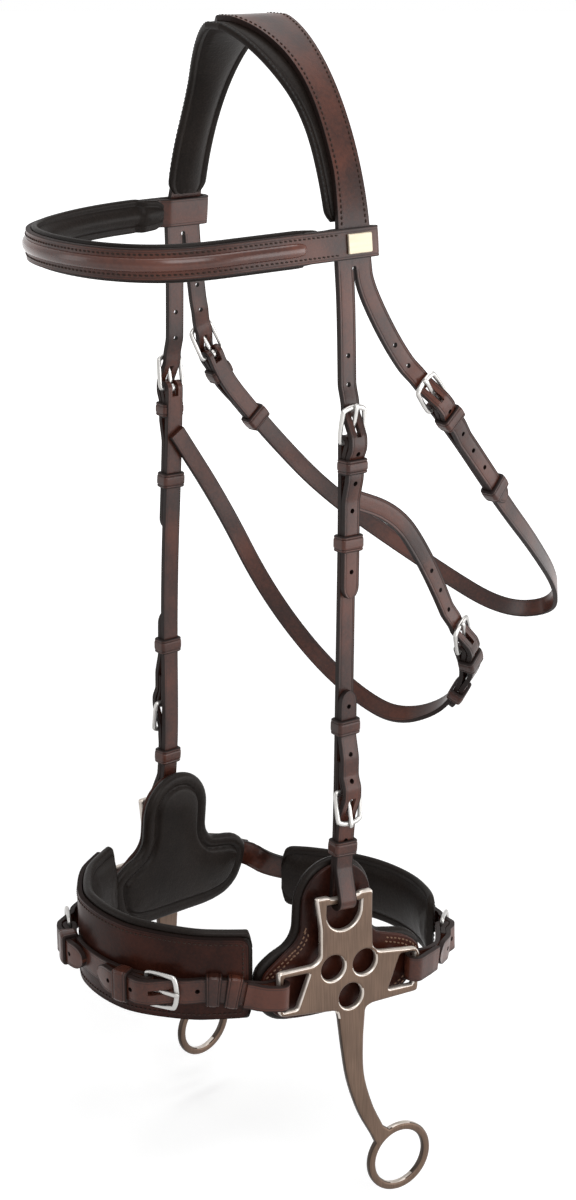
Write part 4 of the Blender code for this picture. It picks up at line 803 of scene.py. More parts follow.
def mesh_of(name, verts, faces, side=LEFT):
    """A mesh from points and faces, mirrored for the right side."""
    mesh = bpy.data.meshes.new(name)
    mesh.from_pydata([(side * p[0], p[1], p[2]) for p in verts], [],
                     [tuple(int(i) for i in f) for f in faces])
    return mesh


def points_of(thing):
    return np.array([v.co for v in thing.data.vertices], float)


def move_to(thing, points):
    for vertex, co in zip(thing.data.vertices, points):
        vertex.co = co


def flip(point, side):
    """A point or direction of the left side, mirrored for the right one."""
    return np.asarray(point, float) * (side, 1.0, 1.0)


def round_sharp_edges(shape, width, angle=35.0):
    sharp = [e for e in shape.edges
             if len(e.link_faces) == 2 and e.calc_face_angle() > math.radians(angle)]
    bmesh.ops.bevel(shape, geom=sharp, offset=width, segments=2, profile=0.6,
                    affect="EDGES", clamp_overlap=True)


def turned_out(name, verts, faces, side=LEFT, spread=None, rounding=0.0):
    """A mesh whose faces look outward; spread is its (along, margin) map."""
    mesh = mesh_of(name, verts, faces, side)
    shape = bmesh.new()
    shape.from_mesh(mesh)
    if spread is not None:
        layer = shape.loops.layers.uv.new("strap")
        for face in shape.faces:
            for corner in face.loops:
                corner[layer].uv = spread[corner.vert.index]
    bmesh.ops.recalc_face_normals(shape, faces=shape.faces)
    if rounding:
        round_sharp_edges(shape, rounding)
    shape.to_mesh(mesh)
    shape.free()
    return mesh


def piece(name, verts, faces, finish, body, slot, spread=None, side=LEFT, rounding=0.0,
          node=None, cutters=()):
    """A finished piece from points and faces, cut, shaded and tied to its body."""
    mesh = turned_out(name, verts, faces, side, spread, rounding)
    made = add(name, mesh)
    mesh.materials.append(finish)
    mesh.shade_smooth()
    for cutter in cutters:
        cut = made.modifiers.new("cut", "BOOLEAN")
        cut.operation = "DIFFERENCE"
        cut.object = cutter
    if cutters:
        settle(made)
    made.data.set_sharp_from_angle(angle=math.radians(50.0))
    weigh = made.modifiers.new("flat faces", "WEIGHTED_NORMAL")
    weigh.keep_sharp = True
    settle(made)
    for cutter in cutters:
        bpy.data.objects.remove(cutter, do_unlink=True)
    if body:
        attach(made, body)
    if node:
        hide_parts(node)
    return made


def loft(rings, closed=False):
    """Skins rings of equal length; a closed loft joins its last ring to its first."""
    count = len(rings[0])
    verts = [p for ring in rings for p in ring]
    faces = []
    last = len(rings) if closed else len(rings) - 1
    for i in range(last):
        a, b = i * count, ((i + 1) % len(rings)) * count
        for j in range(count):
            k = (j + 1) % count
            faces.append((a + j, a + k, b + k, b + j))
    if not closed:
        faces.append(tuple(range(count)))
        faces.append(tuple(range(len(verts) - 1, len(verts) - count - 1, -1)))
    return verts, faces


def gather(solids):
    """Many small lofts, each given by its rings, as one list of points and faces."""
    verts, faces = [], []
    for rings in solids:
        spots, sides = loft(rings)
        faces += [tuple(len(verts) + v for v in face) for face in sides]
        verts += spots
    return verts, faces


print("pieces get rounded edges of", EDGE_ROUND, "m")

# %% [markdown]
# A strap is a sheet with a grid of points above and below. Across it there are extra
# rows of points, so that the upper face can dip at the two creases and the middle can
# be left open for a tongue. Along it the points crowd together where it bends.

# %% The shape of a strap
def softened(path, window=0.0028, pitch=0.0004):
    """The path as leather takes it, with its corners eased over a few millimetres."""
    path = np.asarray(path, float)
    travel = distances(path)
    fine = np.linspace(0.0, travel[-1], int(travel[-1] / pitch) + 2)
    line = read(path, travel, fine)
    half = int(window / pitch / 2)
    kernel = np.ones(2 * half + 1) / (2 * half + 1)
    for _ in range(2):
        before = 2 * line[0] - line[half:0:-1]
        after = 2 * line[-1] - line[-2:-half - 2:-1]
        whole = np.concatenate([before, line, after])
        line = np.stack([np.convolve(whole[:, k], kernel, "valid") for k in range(2)], axis=1)
    return line


def strap_places(line, slots, tip, reach=0.0036, bend=14.0):
    """Distances along a softened path at which the strap gets a row of points."""
    travel = distances(line)
    leg = np.diff(line, axis=0)
    heading = np.unwrap(np.arctan2(leg[:, 1], leg[:, 0]))
    turn = np.abs(np.diff(heading, prepend=heading[0]))
    cost = np.concatenate([[0.0], np.cumsum(np.diff(travel) / reach + turn / math.radians(bend))])
    where = np.interp(np.linspace(0.0, cost[-1], int(cost[-1]) + 2), cost, travel)
    extra = [edge for start, end, _ in slots for edge in (start, end)]
    if tip:
        extra += [travel[-1] - tip * k for k in (1.0, 0.8, 0.62, 0.46, 0.32, 0.2, 0.1, 0.04)]
    where = where[[all(abs(w - e) > 0.0004 for e in extra) for w in where]]
    return np.unique(np.concatenate([where, extra, [0.0, travel[-1]]]))


STRAP_COLUMNS = 10
SLOT_COLUMN = 4


def strap_rows(run, line, width, thick, slots, tip, where, creased=True):
    """Upper and lower points, margins from the edge and the cells left open.

    A row has ten points: two edges, three at each crease and two beside the slot.
    """
    travel = distances(line)
    spots = read(line, travel, where)
    leg = read(line, travel, where + 0.0003) - read(line, travel, where - 0.0003)
    leg = leg / np.linalg.norm(leg, axis=1)[:, None]
    slot = slots[0][2] if slots else width / 4
    upper, lower, margins = [], [], []
    for i, here in enumerate(where):
        shrink = 1.0
        if tip:
            left = min(1.0, max(0.0, (travel[-1] - here) / tip))
            shrink = math.sqrt(0.04 + 0.96 * left * (2.0 - left))
        half = width / 2 * shrink
        inset = [min(CREASE + d, half * (0.5 + 100 * d)) for d in (-0.0004, 0.0, 0.0004)]
        dip = 0.00022 * shrink if creased else 0.0
        across = [(half, 0.0), (half - inset[0], 0.0), (half - inset[1], dip),
                  (half - inset[2], 0.0), (slot / 2 * shrink, -0.00005)]
        columns = [(-b, d) for b, d in across] + [(b, d) for b, d in across[::-1]]
        up = np.array([-leg[i][1], leg[i][0]])
        for sign, rows in ((1, upper), (-1, lower)):
            row = []
            for b, drop in columns:
                s, n = spots[i] + sign * up * (thick / 2 - (drop if sign > 0 else 0.0))
                row.append(run.place(s, n, b))
            rows.append(row)
        margins.append([(here, half - abs(b)) for b, _ in columns])
    middle = (where[1:] + where[:-1]) / 2
    gaps = [(i, SLOT_COLUMN) for i, m in enumerate(middle)
            if any(a < m < b for a, b, _ in slots)]
    return upper, lower, margins, gaps


def sheet_solid(upper, lower, margins, gaps=()):
    """A closed sheet between two grids, less the cells in gaps, with its map."""
    rows, columns = len(upper), len(upper[0])
    verts = [p for row in upper for p in row] + [p for row in lower for p in row]
    spread = [m for row in margins for m in row] * 2
    below, gaps = rows * columns, set(gaps)

    def solid(i, j):
        return 0 <= i < rows - 1 and 0 <= j < columns - 1 and (i, j) not in gaps

    faces = []
    for i in range(rows - 1):
        for j in range(columns - 1):
            if not solid(i, j):
                continue
            a, b = i * columns + j, (i + 1) * columns + j
            faces.append((a, a + 1, b + 1, b))
            faces.append((a + below, b + below, b + 1 + below, a + 1 + below))
            for beside, p, q in (((i - 1, j), a, a + 1), ((i + 1, j), b, b + 1),
                                 ((i, j - 1), a, b), ((i, j + 1), a + 1, b + 1)):
                if not solid(*beside):
                    faces.append((p, q, q + below, p + below))
    used = sorted({v for face in faces for v in face})
    order = {v: k for k, v in enumerate(used)}
    return ([verts[v] for v in used], [tuple(order[v] for v in f) for f in faces],
            [spread[v] for v in used])


print("a crease lies", CREASE, "m from each edge")

# %% [markdown]
# Holes for the tongues to go through are punched round, about 15 mm apart. Each is
# cut with a thin cylinder that stands square to the leather.

# %% Round holes
HOLE = 0.0014
TIP_SHARE = 0.66


def hole_cutters(name, places, side=LEFT, radius=HOLE):
    """One object of thin cylinders at (point, outward) places, for a Boolean cut."""
    if not places:
        return []
    cylinders = []
    for point, out in places:
        beside = unit(np.cross(out, (0.3, 0.5, 0.81)))
        above = np.cross(out, beside)
        cylinders.append([[point + out * h + radius * (math.cos(t) * beside
                                                       + math.sin(t) * above)
                           for t in all_round(12)] for h in (-0.0030, 0.0030)])
    made = add(name, turned_out(name, *gather(cylinders), side))
    made.hide_render = True
    return [made]


def on_line(run, line, travel_at):
    """Point and outward way at distances along a softened path."""
    travel = distances(line)
    found = []
    for t in travel_at:
        s, n = (float(v) for v in read(line, travel, t))
        point, _, out, _ = run.frame(s)
        found.append((point + out * n, out))
    return found


def strap(name, run, path, width, folds=(), fills=None, holes=(), thick=LEATHER, side=LEFT,
          body="headstall", node=None, creased=True):
    """A finished strap, slotted where it folds round the hinge bars of buckles.

    Where it fills a buckle it has a slot for the tongue, a tip and round holes,
    which are given as steps from that buckle's hinge bar.
    """
    line = softened(path)
    slots = [chape_slot(line, buckle) for buckle in folds]
    tip, punched = 0.0, []
    if fills:
        slots.append(punch(line, fills))
        tip, punched = TIP_SHARE * width, punched_at(line, fills, holes)
    slots.sort()
    where = strap_places(line, slots, tip)
    upper, lower, margins, gaps = strap_rows(run, line, width, thick, slots, tip, where, creased)
    verts, faces, spread = sheet_solid(upper, lower, margins, gaps)
    cutters = hole_cutters("punch", on_line(run, line, punched), side)
    return piece(name, verts, faces, LEATHER_FINISH, body, "leather", spread, side, EDGE_ROUND,
                 node, cutters)


print("holes", 2 * HOLE, "m wide")

# %% [markdown]
# Stitches are real geometry here: each is a short, slightly slanted rod of thread
# that dips into the leather at both ends. A sewn line is a row of them.

# %% Stitches
RODS = ((-0.50, 0.35, -0.55), (-0.36, 0.85, 0.05), (0.0, 1.0, 0.30), (0.36, 0.85, 0.05),
        (0.50, 0.35, -0.55))
SLANT = math.radians(9.0)


def sew(name, lines, finish, body, slot="leather", pitch=STITCH_PITCH, length=0.0021,
        thick=0.00052, side=LEFT):
    """Rows of stitches; each line is (points, outward ways) along the seam."""
    stitches = []
    for points, outs in lines:
        points, outs = np.asarray(points, float), np.asarray(outs, float)
        travel = distances(points)
        count = max(1, int(travel[-1] / pitch))
        for k in range(count):
            t = (k + 0.5) * travel[-1] / count
            spot, ahead, behind = (read(points, travel, t + d) for d in (0.0, 0.001, -0.001))
            out = read(outs, travel, t)
            along = unit(ahead - behind)
            out = unit(out - along * (out @ along))
            across = np.cross(along, out)
            rod = along * math.cos(SLANT) + across * math.sin(SLANT)
            beside = np.cross(rod, out)
            stitches.append([[spot + rod * reach * length + out * lift * thick
                              + thick * fat * (math.cos(a) * out * 0.8 + math.sin(a) * beside)
                              for a in all_round(6)] for reach, fat, lift in RODS])
    print(name, "has", len(stitches), "stitches")
    return piece(name, *gather(stitches), finish, body, slot, side=side)


def frame_seam(run, n, stations, edges):
    """A closed seam round an upright band: along its high edge and back on its low one."""
    rim = [(s, edges(s)[1]) for s in stations] + [(s, edges(s)[0]) for s in stations[::-1]]
    rim.append(rim[0])
    return [run.upright(s, n, z) for s, z in rim], [run.frame(s)[2] for s, _ in rim]

# %% [markdown]
# All runs and buckles are set out first, as on a bench: each later cell then takes
# what it needs by name.

# %% Runs and buckles
CHAPE_GAP = 0.0004
UPPER_HINGE_Z = -0.2090
LOWER_HINGE_Z = -0.4080
THROAT_BUCKLE = (0.0795, 0.0680, -0.1955)
FAR_THROAT_BUCKLE = (0.0796, 0.0330, -0.1930)
JOWL_BUCKLE = (0.0740, 0.0970, -0.3460)
NOSE_BUCKLE = (0.0385, -0.1030, NOSE_STRAP_Z)
CHIN_BUCKLE = (0.0660, 0.0920, CHIN_Z)
RUNS = {"cheek": cheek_run(), "throat": Run(THROAT_ROUTE), "nose": nose_run(),
        "chin": chin_run(), "brow": brow_run(),
        "far_throat": Run(mirrored(THROAT_ROUTE)[::-1])}
RUNS["jowl"] = jowl_run(RUNS["cheek"])


def place_buckles(runs):
    """Every buckle, by name; the right cheekpiece's are mirrored from the left's."""
    base = WIRE + GAP + HALF
    chape_base = HALF + CHAPE_GAP + WIRE + GAP + CHAPE / 2
    cheek, throat_line, jowl_line = runs["cheek"], runs["throat"], runs["jowl"]
    far_throat, nose, chin_line = runs["far_throat"], runs["nose"], runs["chin"]
    upper_s, lower_s = cheek.at_height(UPPER_HINGE_Z), cheek.at_height(LOWER_HINGE_Z)
    near_s, far_s = throat_line.nearest(THROAT_BUCKLE), far_throat.nearest(FAR_THROAT_BUCKLE)
    nose_s = nose.nearest(NOSE_BUCKLE)
    return {
        "upper": Buckle(cheek, upper_s, 1, base, STRAP_WIDTH),
        "lower": Buckle(cheek, lower_s, -1, chape_base, STRAP_WIDTH, CHAPE),
        "throat_left": Buckle(throat_line, near_s, 1, base, STRAP_WIDTH),
        "throat_right": Buckle(throat_line, throat_line.length - far_s, -1, base, STRAP_WIDTH),
        "far_mirror": Buckle(far_throat, far_s, 1, base, STRAP_WIDTH),
        "jowl": Buckle(jowl_line, jowl_line.nearest(JOWL_BUCKLE), 1, base, STRAP_WIDTH),
        "nose_left": Buckle(nose, nose_s, 1, base, NOSE_STRAP_WIDTH),
        "nose_right": Buckle(nose, nose.length - nose_s, -1, base, NOSE_STRAP_WIDTH),
        "chin": Buckle(chin_line, chin_line.nearest(CHIN_BUCKLE), -1, base, CURB_STRAP_WIDTH),
    }


BUCKLES = place_buckles(RUNS)
print("buckles", ", ".join(BUCKLES))

# %% [markdown]
# The headpiece is one leather: a wide arch whose sides are slit into two billets. It
# is one grid of points, from the tips of the billets up over the poll, with the cells
# between the billets left open.

# %% Headpiece leather
SPLIT_Z = -0.1180
ARCH_ROWS = 11
UPPER_TIP_Z = -0.2960
THROAT_TIP = 0.0900
FAR_THROAT_TIP = 0.0640
CROWN_HOLES = (-0.046, -0.0305, 0.006, 0.0225, 0.0380, 0.0720)
THROAT_HOLES = (-0.046, -0.0305, 0.006, 0.0270, 0.0425, 0.0580)
BILLET_COLUMNS = (0.0054, 0.0042, 0.0038, 0.0034, 0.0017)
STITCH_INSET = 0.0024


def eased_front(edge, share, reach=0.12):
    """A front edge with its corners eased away, also over the poll."""
    nearby = np.minimum(np.abs(np.linspace(share - reach, share + reach, 13)), 1.0)
    return float(np.mean([edge(s) for s in nearby]))


def leather_front(turn):
    """Middle, way out and eased front edge of the leather at a turn of the arch."""
    centre, out, share = arch(turn)
    rise = centre[2] - CROWN_SIDE_Z
    return centre, out, eased_front(lambda s: crown_front(s, rise), share)


def crown_half(throat, throat_buckle, throat_tip):
    """Rows of points from the two tips up to the middle of the poll."""
    parts, holes = [], []
    for run, buckle, tip, steps in (
            (RUNS["cheek"], BUCKLES["upper"], RUNS["cheek"].at_height(UPPER_TIP_Z), CROWN_HOLES),
            (throat, throat_buckle, throat_tip, THROAT_HOLES)):
        split = run.at_height(SPLIT_Z)
        line = softened(billet_path(buckle, buckle.s - split, tip - buckle.s, 0.0))
        cut = [punch(line, buckle)]
        parts.append([run, line, cut, strap_places(line, cut, TIP_SHARE * STRAP_WIDTH)])
        holes += on_line(run, line, punched_at(line, buckle, steps))
    rows = max(len(part[3]) for part in parts)
    for part in parts:
        while len(part[3]) < rows:
            widest = int(np.argmax(np.diff(part[3])))
            middle = (part[3][widest] + part[3][widest + 1]) / 2
            part[3] = np.insert(part[3], widest + 1, middle)
    grids = [strap_rows(run, line, STRAP_WIDTH, LEATHER, cut, TIP_SHARE * STRAP_WIDTH, where)
             for run, line, cut, where in parts]
    upper, lower, margins = ([a[::-1] + b[::-1] for a, b in zip(grids[0][k], grids[1][k])]
                             for k in range(3))
    gaps = [(rows - 2 - i, first + SLOT_COLUMN)
            for first, grid in zip((0, STRAP_COLUMNS), grids) for i, _ in grid[3]]
    gaps += [(i, STRAP_COLUMNS - 1) for i in range(rows - 1)]
    upper, lower, margins = upper[::-1], lower[::-1], margins[::-1]
    billet = STRAP_WIDTH / BROW_CROWN_WIDTH
    shares = [(0.5 - b / STRAP_WIDTH) * billet for b in BILLET_COLUMNS]
    shares += [(b / STRAP_WIDTH + 0.5) * billet for b in BILLET_COLUMNS[::-1]]
    shares += [1.0 - share for share in shares[::-1]]
    turns = [0.0] + list(arch_turns(0.06, 3 * ARCH_ROWS))
    for turn in turns:
        centre, out, front = leather_front(turn)
        across = [front + part * (CROWN_REAR - front) for part in shares]
        places = [centre + np.array([0.0, y, 0.0]) for y in across]
        upper.append([p + out * HALF for p in places])
        lower.append([p - out * HALF for p in places])
        inset = [min(y - front, CROWN_REAR - y) for y in across]
        margins.append([(0.3 + turn * 0.1, m + 0.0025 * (turn > 0 and m > 0.0001)) for m in inset])
    return upper, lower, margins, gaps, holes


def headpiece_leather():
    near = BUCKLES["throat_left"]
    far = BUCKLES["far_mirror"]
    left = crown_half(RUNS["throat"], near, near.s + THROAT_TIP)
    right = crown_half(RUNS["far_throat"], far, far.s + FAR_THROAT_TIP)
    upper, lower = (left[k] + [[flip(p, RIGHT) for p in row] for row in right[k][::-1]]
                    for k in (0, 1))
    margins = left[2] + right[2][::-1]
    gaps = left[3] + [(len(upper) - 2 - i, j) for i, j in right[3]]
    verts, faces, spread = sheet_solid(upper, lower, margins, gaps)
    slit = np.array([CROWN_HALF_WIDTH, CROWN_SIDE_Y, SPLIT_Z + 0.0005])
    holes = left[4] + [(flip(p, RIGHT), flip(o, RIGHT)) for p, o in right[4]]
    holes += [(flip(slit, side), flip(OUT_LEFT, side)) for side in (LEFT, RIGHT)]
    return piece("headpiece_leather", verts, faces, LEATHER_FINISH, "headstall", "leather",
                 spread, LEFT, EDGE_ROUND, "crown_strap", hole_cutters("punch", holes))


def arch_seam(offset_front, offset_rear, start=LOOP_STRAIGHT, rows=80):
    """Two lines along the arch, inset from the leather's front and rear edges."""
    lines = [([], []), ([], [])]
    first = turn_at_rise(start)
    turns = list(arch_turns(first, rows))
    for side, angles in ((LEFT, turns), (RIGHT, turns[::-1])):
        for turn in angles:
            centre, out, front = leather_front(turn)
            for k, y in ((0, front + offset_front), (1, CROWN_REAR - offset_rear)):
                lines[k][0].append(flip(centre + out * HALF + (0.0, y, 0.0), side))
                lines[k][1].append(flip(out, side))
    return lines


headpiece = headpiece_leather()
sew("headpiece_stitches", arch_seam(STITCH_INSET, STITCH_INSET), BROWN_THREAD, "headstall")
print("headpiece leather has", len(headpiece.data.polygons), "faces")

# %% [markdown]
# Padding is foam under soft leather. Its edge is a roll that stands proud of the
# brown leather, and a stitched channel parts the roll from the full, crowned middle
# that lies against the horse. One half of that outline is drawn here and mirrored.

# %% The outline of a pad
def pad_outline(top, thick, low, high, roll=0.0042, channel=0.0007, full=0.0, count=9):
    """Points (n, b) round a pad from its flat face at top; full is its extra fill."""
    middle, half = (low + high) / 2, (high - low) / 2
    radius = min(thick * 0.40, roll * 0.48)
    rim = [(top, radius + 0.0030), (top - 0.0011, radius + 0.0018), (top, radius + 0.0007)]
    for t in np.linspace(0.0, math.pi, 9):
        rim.append((top - radius + radius * math.cos(t), radius - radius * math.sin(t)))
    rim += [(top - 2 * radius + channel * 0.5, roll - 0.0006), (top - 2 * radius + channel, roll),
            (top - 2 * radius + channel * 0.4, roll + 0.0006)]
    for u in np.linspace(0.12, 1.0, count):
        deep = 2 * radius + (thick - 2 * radius + full) * math.sin(math.pi / 2 * u) ** 0.8
        rim.append((top - deep, roll + 0.0008 + (half - roll - 0.0008) * u))
    right = [(n, middle + half - d) for n, d in rim]
    left = [(n, middle - half + d) for n, d in rim[:-1]]
    return right + left[::-1]


def closed_ends(rings, run_out=3, pull=0.35):
    """Draws a pad's last rings in towards their middle, so that its ends are round."""
    done = [np.array(ring, float) for ring in rings]
    for k in range(run_out):
        share = 1.0 - pull * (1.0 - math.sin(math.pi / 2 * (k + 0.3) / run_out))
        for i in (k, len(done) - 1 - k):
            centre = done[i].mean(axis=0)
            done[i] = centre + (done[i] - centre) * share
    return done


print("a pad's outline has", len(pad_outline(0.0, 0.006, -0.02, 0.02)), "points")

# %% [markdown]
# Foam under leather swells where nothing holds it. The cloth solver shows where:
# the pad is blown up a little with its seams pinned, and how far any point may go is
# capped, so that it stays in the room that the model gives it.

# %% Swelling a pad
SWELL_FRAMES = 16
PAD_PRESSURE = 4.0


def swell(thing, pressure, cap, pinned):
    """Blows a pad up with cloth pressure; pinned holds each point's share kept still."""
    rest = points_of(thing)
    group = thing.vertex_groups.new(name="sewn")
    for index, share in enumerate(pinned):
        group.add([index], float(share), "REPLACE")
    cloth = thing.modifiers.new("foam", "CLOTH")
    cloth.settings.quality = 4
    cloth.settings.mass = 0.2
    cloth.settings.use_pressure = True
    cloth.settings.uniform_pressure_force = pressure
    cloth.settings.tension_stiffness = 8.0
    cloth.settings.bending_stiffness = 0.8
    cloth.settings.vertex_group_mass = "sewn"
    cloth.settings.effector_weights.gravity = 0.0
    cloth.collision_settings.use_collision = False
    cloth.point_cache.frame_start = 1
    cloth.point_cache.frame_end = SWELL_FRAMES
    for step in range(1, SWELL_FRAMES + 1):
        bpy.context.scene.frame_set(step)
    settle(thing)
    moved = points_of(thing) - rest
    far = np.linalg.norm(moved, axis=1)
    move_to(thing, rest + moved * (np.minimum(far, cap) / np.maximum(far, 1e-9))[:, None])
    thing.vertex_groups.clear()
    bpy.context.scene.frame_set(1)
    print(thing.name, "swelled by up to", round(float(min(far.max(), cap)) * 1000, 2), "mm")


def pad_piece(name, rings, node, body="headstall", cap=0.0012, side=LEFT,
              free=(16, -16)):
    """A pad from its rings; the roll and the channel are sewn, the middle may swell."""
    rings = closed_ends(rings)
    verts, faces = loft(rings)
    made = piece(name, verts, faces, PADDING_FINISH, None, "padding", side=side)
    count = len(rings[0])
    pinned = [0.0 if free[0] <= k % count < count + free[1] else 1.0
              for k in range(len(verts))]
    swell(made, PAD_PRESSURE, cap, pinned)
    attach(made, body)
    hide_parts(node)
    return made

# %% Headpiece padding
POLL_PAD_REAR = 0.0005
POLL_PAD_END = 0.0028


def headpiece_padding():
    turns = list(arch_turns(turn_at_rise(LOOP_STRAIGHT + POLL_PAD_END), 5 * ARCH_ROWS))
    rings, seam = [], ([], [])
    top = -HALF - GAP
    for side, angles in ((LEFT, turns), (RIGHT, turns[::-1])):
        for turn in angles:
            centre, out, share = arch(turn)
            front = eased_front(pad_front, share)
            section = pad_outline(top, POLL_PAD, front, CROWN_REAR + POLL_PAD_REAR, full=0.0022)
            rings.append([flip(centre + out * n + (0.0, y, 0.0), side) for n, y in section])
            spot = centre + out * (top - 0.0003) + (0.0, front + 0.0012, 0.0)
            seam[0].append(flip(spot, side))
            seam[1].append(flip(out * 0.7 + (0.0, -0.7, 0.0), side))
    seam = (seam[0][4:-4], seam[1][4:-4])
    made = pad_piece("headpiece_padding", rings, "crown_padding", cap=0.0010)
    sew("headpiece_padding_stitches", [seam], BLACK_THREAD, "headstall", "padding")
    return made


headpiece_padding()
print("headpiece padding done")

# %% [markdown]
# The browband is a flat leather with a rounded, highly polished ridge down its
# middle. Its ends fold back into loops that the headpiece passes through, and a row
# of stitches runs above and below the ridge.

# %% Browband
BROW_RIDGE = 0.0075


def brow_places(run):
    """Where the browband's front meets the headpiece, along its run."""
    middle = (LOOP_FOOT + LOOP_HEAD) / 2 + LOOP_OUT * LOOP_SPREAD
    return run.nearest((middle[0], CROWN_REAR, middle[2])) - LOOP_ROOM


def brow_path(run, start):
    turn = LOOP_SPREAD
    deep = -2 * turn
    loop = [(start + BROW_CROWN_WIDTH + 0.0200, -LEATHER - GAP),
            (start + BROW_CROWN_WIDTH + 0.0060, -LEATHER - GAP - 0.0006),
            (start + BROW_CROWN_WIDTH + 0.0010, deep), (start, deep)]
    loop += [(start - turn * math.cos(t), deep / 2 - turn * math.sin(t))
             for t in np.radians(np.linspace(70, -70, 6))]
    path = loop + [(start, 0.0)]
    return path + [(run.length - s, n) for s, n in path[::-1]]


def ridge(run, start):
    """The raised middle: half an oval across, ending in a rounded nose."""
    nose, end = 0.0085, run.length - start
    rings = []
    for s in np.concatenate([start + nose * (1 - np.cos(np.linspace(0.12, 1.57, 9))),
                             np.linspace(start + nose, end - nose, 110)[1:-1],
                             end - nose * (1 - np.cos(np.linspace(1.57, 0.12, 9)))]):
        near = min(1.0, min(s - start, end - s) / nose)
        grow = math.sqrt(max(0.02, near * (2.0 - near)))
        half, high = BROW_RIDGE / 2 * (0.35 + 0.65 * grow), 0.0031 * grow
        over = [(HALF - 0.0010 + high * math.sin(t) ** 0.8, half * math.cos(t))
                for t in np.linspace(0.0, math.pi, 15)]
        rings.append([run.place(s, n, b) for n, b in over])
    return rings


BROW = RUNS["brow"]
BROW_START = brow_places(BROW)
RIDGE_START = BROW_START + BROW_CROWN_WIDTH + 0.0220
strap("browband_leather", BROW, sampled(brow_path(BROW, BROW_START), 0.0100), BROW_FACE,
      node="browband")
verts, faces = loft(ridge(BROW, RIDGE_START))
piece("browband_ridge", verts, faces, GLOSSY_LEATHER, "headstall", "leather",
      spread=[(0.0, 0.004)] * len(verts))
brow_lines = []
for offset in (-BROW_FACE / 2 + STITCH_INSET + 0.0004, BROW_FACE / 2 - STITCH_INSET - 0.0004):
    stations = np.arange(BROW_START + BROW_CROWN_WIDTH + 0.0020,
                         BROW.length - BROW_START - BROW_CROWN_WIDTH - 0.0020, 0.0030)
    brow_lines.append(([BROW.place(s, HALF, offset) for s in stations],
                       [BROW.frame(s)[2] for s in stations]))
sew("browband_stitches", brow_lines, BROWN_THREAD, "headstall")
print("browband run", round(BROW.length, 4), "m")

# %% Browband padding and the bare plate on its near loop
BROW_PAD_HEIGHT = 0.0195
BROW_PAD = 0.0055
PLATE_LONG = 0.0160
PLATE_TALL = 0.0105
PLATE_THICK = 0.0012
PLATE_CORNER = 0.0008
BROW_PAD_START = 0.0066
BROW_PAD_STEP = 0.0164


def browband_padding(run, start):
    """Padding that steps over the folded ends of the leather, up to its loops."""
    begin = start + BROW_CROWN_WIDTH + BROW_PAD_START
    end = run.length - begin
    rings = []
    for s in np.linspace(begin, end, 160):
        near = min(s - begin, end - s)
        high = BROW_PAD_HEIGHT / 2 * min(1.0, 0.84 + near / 0.120)
        step = (LEATHER + 2 * GAP) * min(1.0, max(0.0, (BROW_PAD_STEP - near) / 0.0025))
        deep = min(1.0, 0.5 + near / 0.020)
        thick = max(0.0036, (BROW_PAD - step) * deep)
        section = pad_outline(-HALF - GAP - step, thick, -high, high, roll=0.0034,
                              channel=0.0005, full=0.0012 * deep)
        rings.append([run.place(s, n, b) for n, b in section])
    return pad_piece("browband_padding_soft", rings, "browband_padding", cap=0.0008)


def plate(run, start):
    """A small pale plate with rounded corners and edges, left bare."""
    middle = start + BROW_CROWN_WIDTH / 2
    rings = []
    for lift, inset in ((0.0, 0.0), (PLATE_THICK - 0.0004, 0.0), (PLATE_THICK - 0.0001, 0.0002),
                        (PLATE_THICK, 0.0005)):
        half = np.array([PLATE_LONG / 2 - inset, PLATE_TALL / 2 - inset])
        rings.append([run.place(middle + x, HALF + GAP + lift, y)
                      for x, y in round_box(-half, half, PLATE_CORNER, 4)])
    verts, faces = loft(rings)
    return piece("browband_plate_bare", verts, faces, PALE_GOLD, "headstall", "plate",
                 node="browband_plate")


browband_padding(BROW, BROW_START)
plate(BROW, BROW_START)
print("plate", PLATE_LONG, "by", PLATE_TALL, "m")

# %% [markdown]
# Keepers and runners are small leather loops. A keeper is sewn to its strap and a
# runner slides. Both are round at the corners, pressed with a crease near each edge
# and a little fuller in the middle than the straps they hold.

# %% Keepers and runners
KEEPER_AT = 0.0130
KEEPER_LENGTH = 0.0080
KEEPER_PROFILE = ((0.0, -0.00045), (0.00035, -0.0001), (0.0008, 0.0), (0.0012, 0.0),
                  (0.0016, -0.00028), (0.0020, 0.0001), (0.0030, 0.00018))


def leather_loop(name, run, s, low, high, length, body, wall=KEEPER_LEATHER, side=LEFT,
                 node=None, corner=0.0007):
    """A band round a strap; its hole spans low to high as (n, b)."""

    def outline(offset):
        inner = offset is None
        grow = 0.0 if inner else wall + offset
        radius = corner if inner else corner + wall * 0.8
        return round_box([v - grow for v in low], [v + grow for v in high], radius, 5)

    start, end = s - length / 2, s + length / 2
    profile = [(start + d, offset, d) for d, offset in KEEPER_PROFILE]
    profile += [(end - d, offset, d) for d, offset in KEEPER_PROFILE[::-1]]
    rings, spread = [], []
    for place, offset, margin in [(start, None, 0.0)] + profile + [(end, None, 0.0)]:
        ring = [run.place(place, n, b) for n, b in outline(offset)]
        rings.append(ring)
        spread += [(0.0, margin)] * len(ring)
    verts, faces = loft(rings, closed=True)
    return piece(name, verts, faces, LEATHER_FINISH, body, "leather", spread, side, node=node)


def sewn_keeper(name, buckle, side=LEFT, foot=0.0009):
    """A fixed loop past a buckle, round its fold and the billet on top."""
    s, half = buckle.s + buckle.way * KEEPER_AT, buckle.width / 2 + GAP
    top = 2 * (LEATHER + GAP) + HALF + GAP
    leather_loop(name, buckle.run, s, (foot, -half), (top, half), KEEPER_LENGTH, "headstall",
                 side=side)


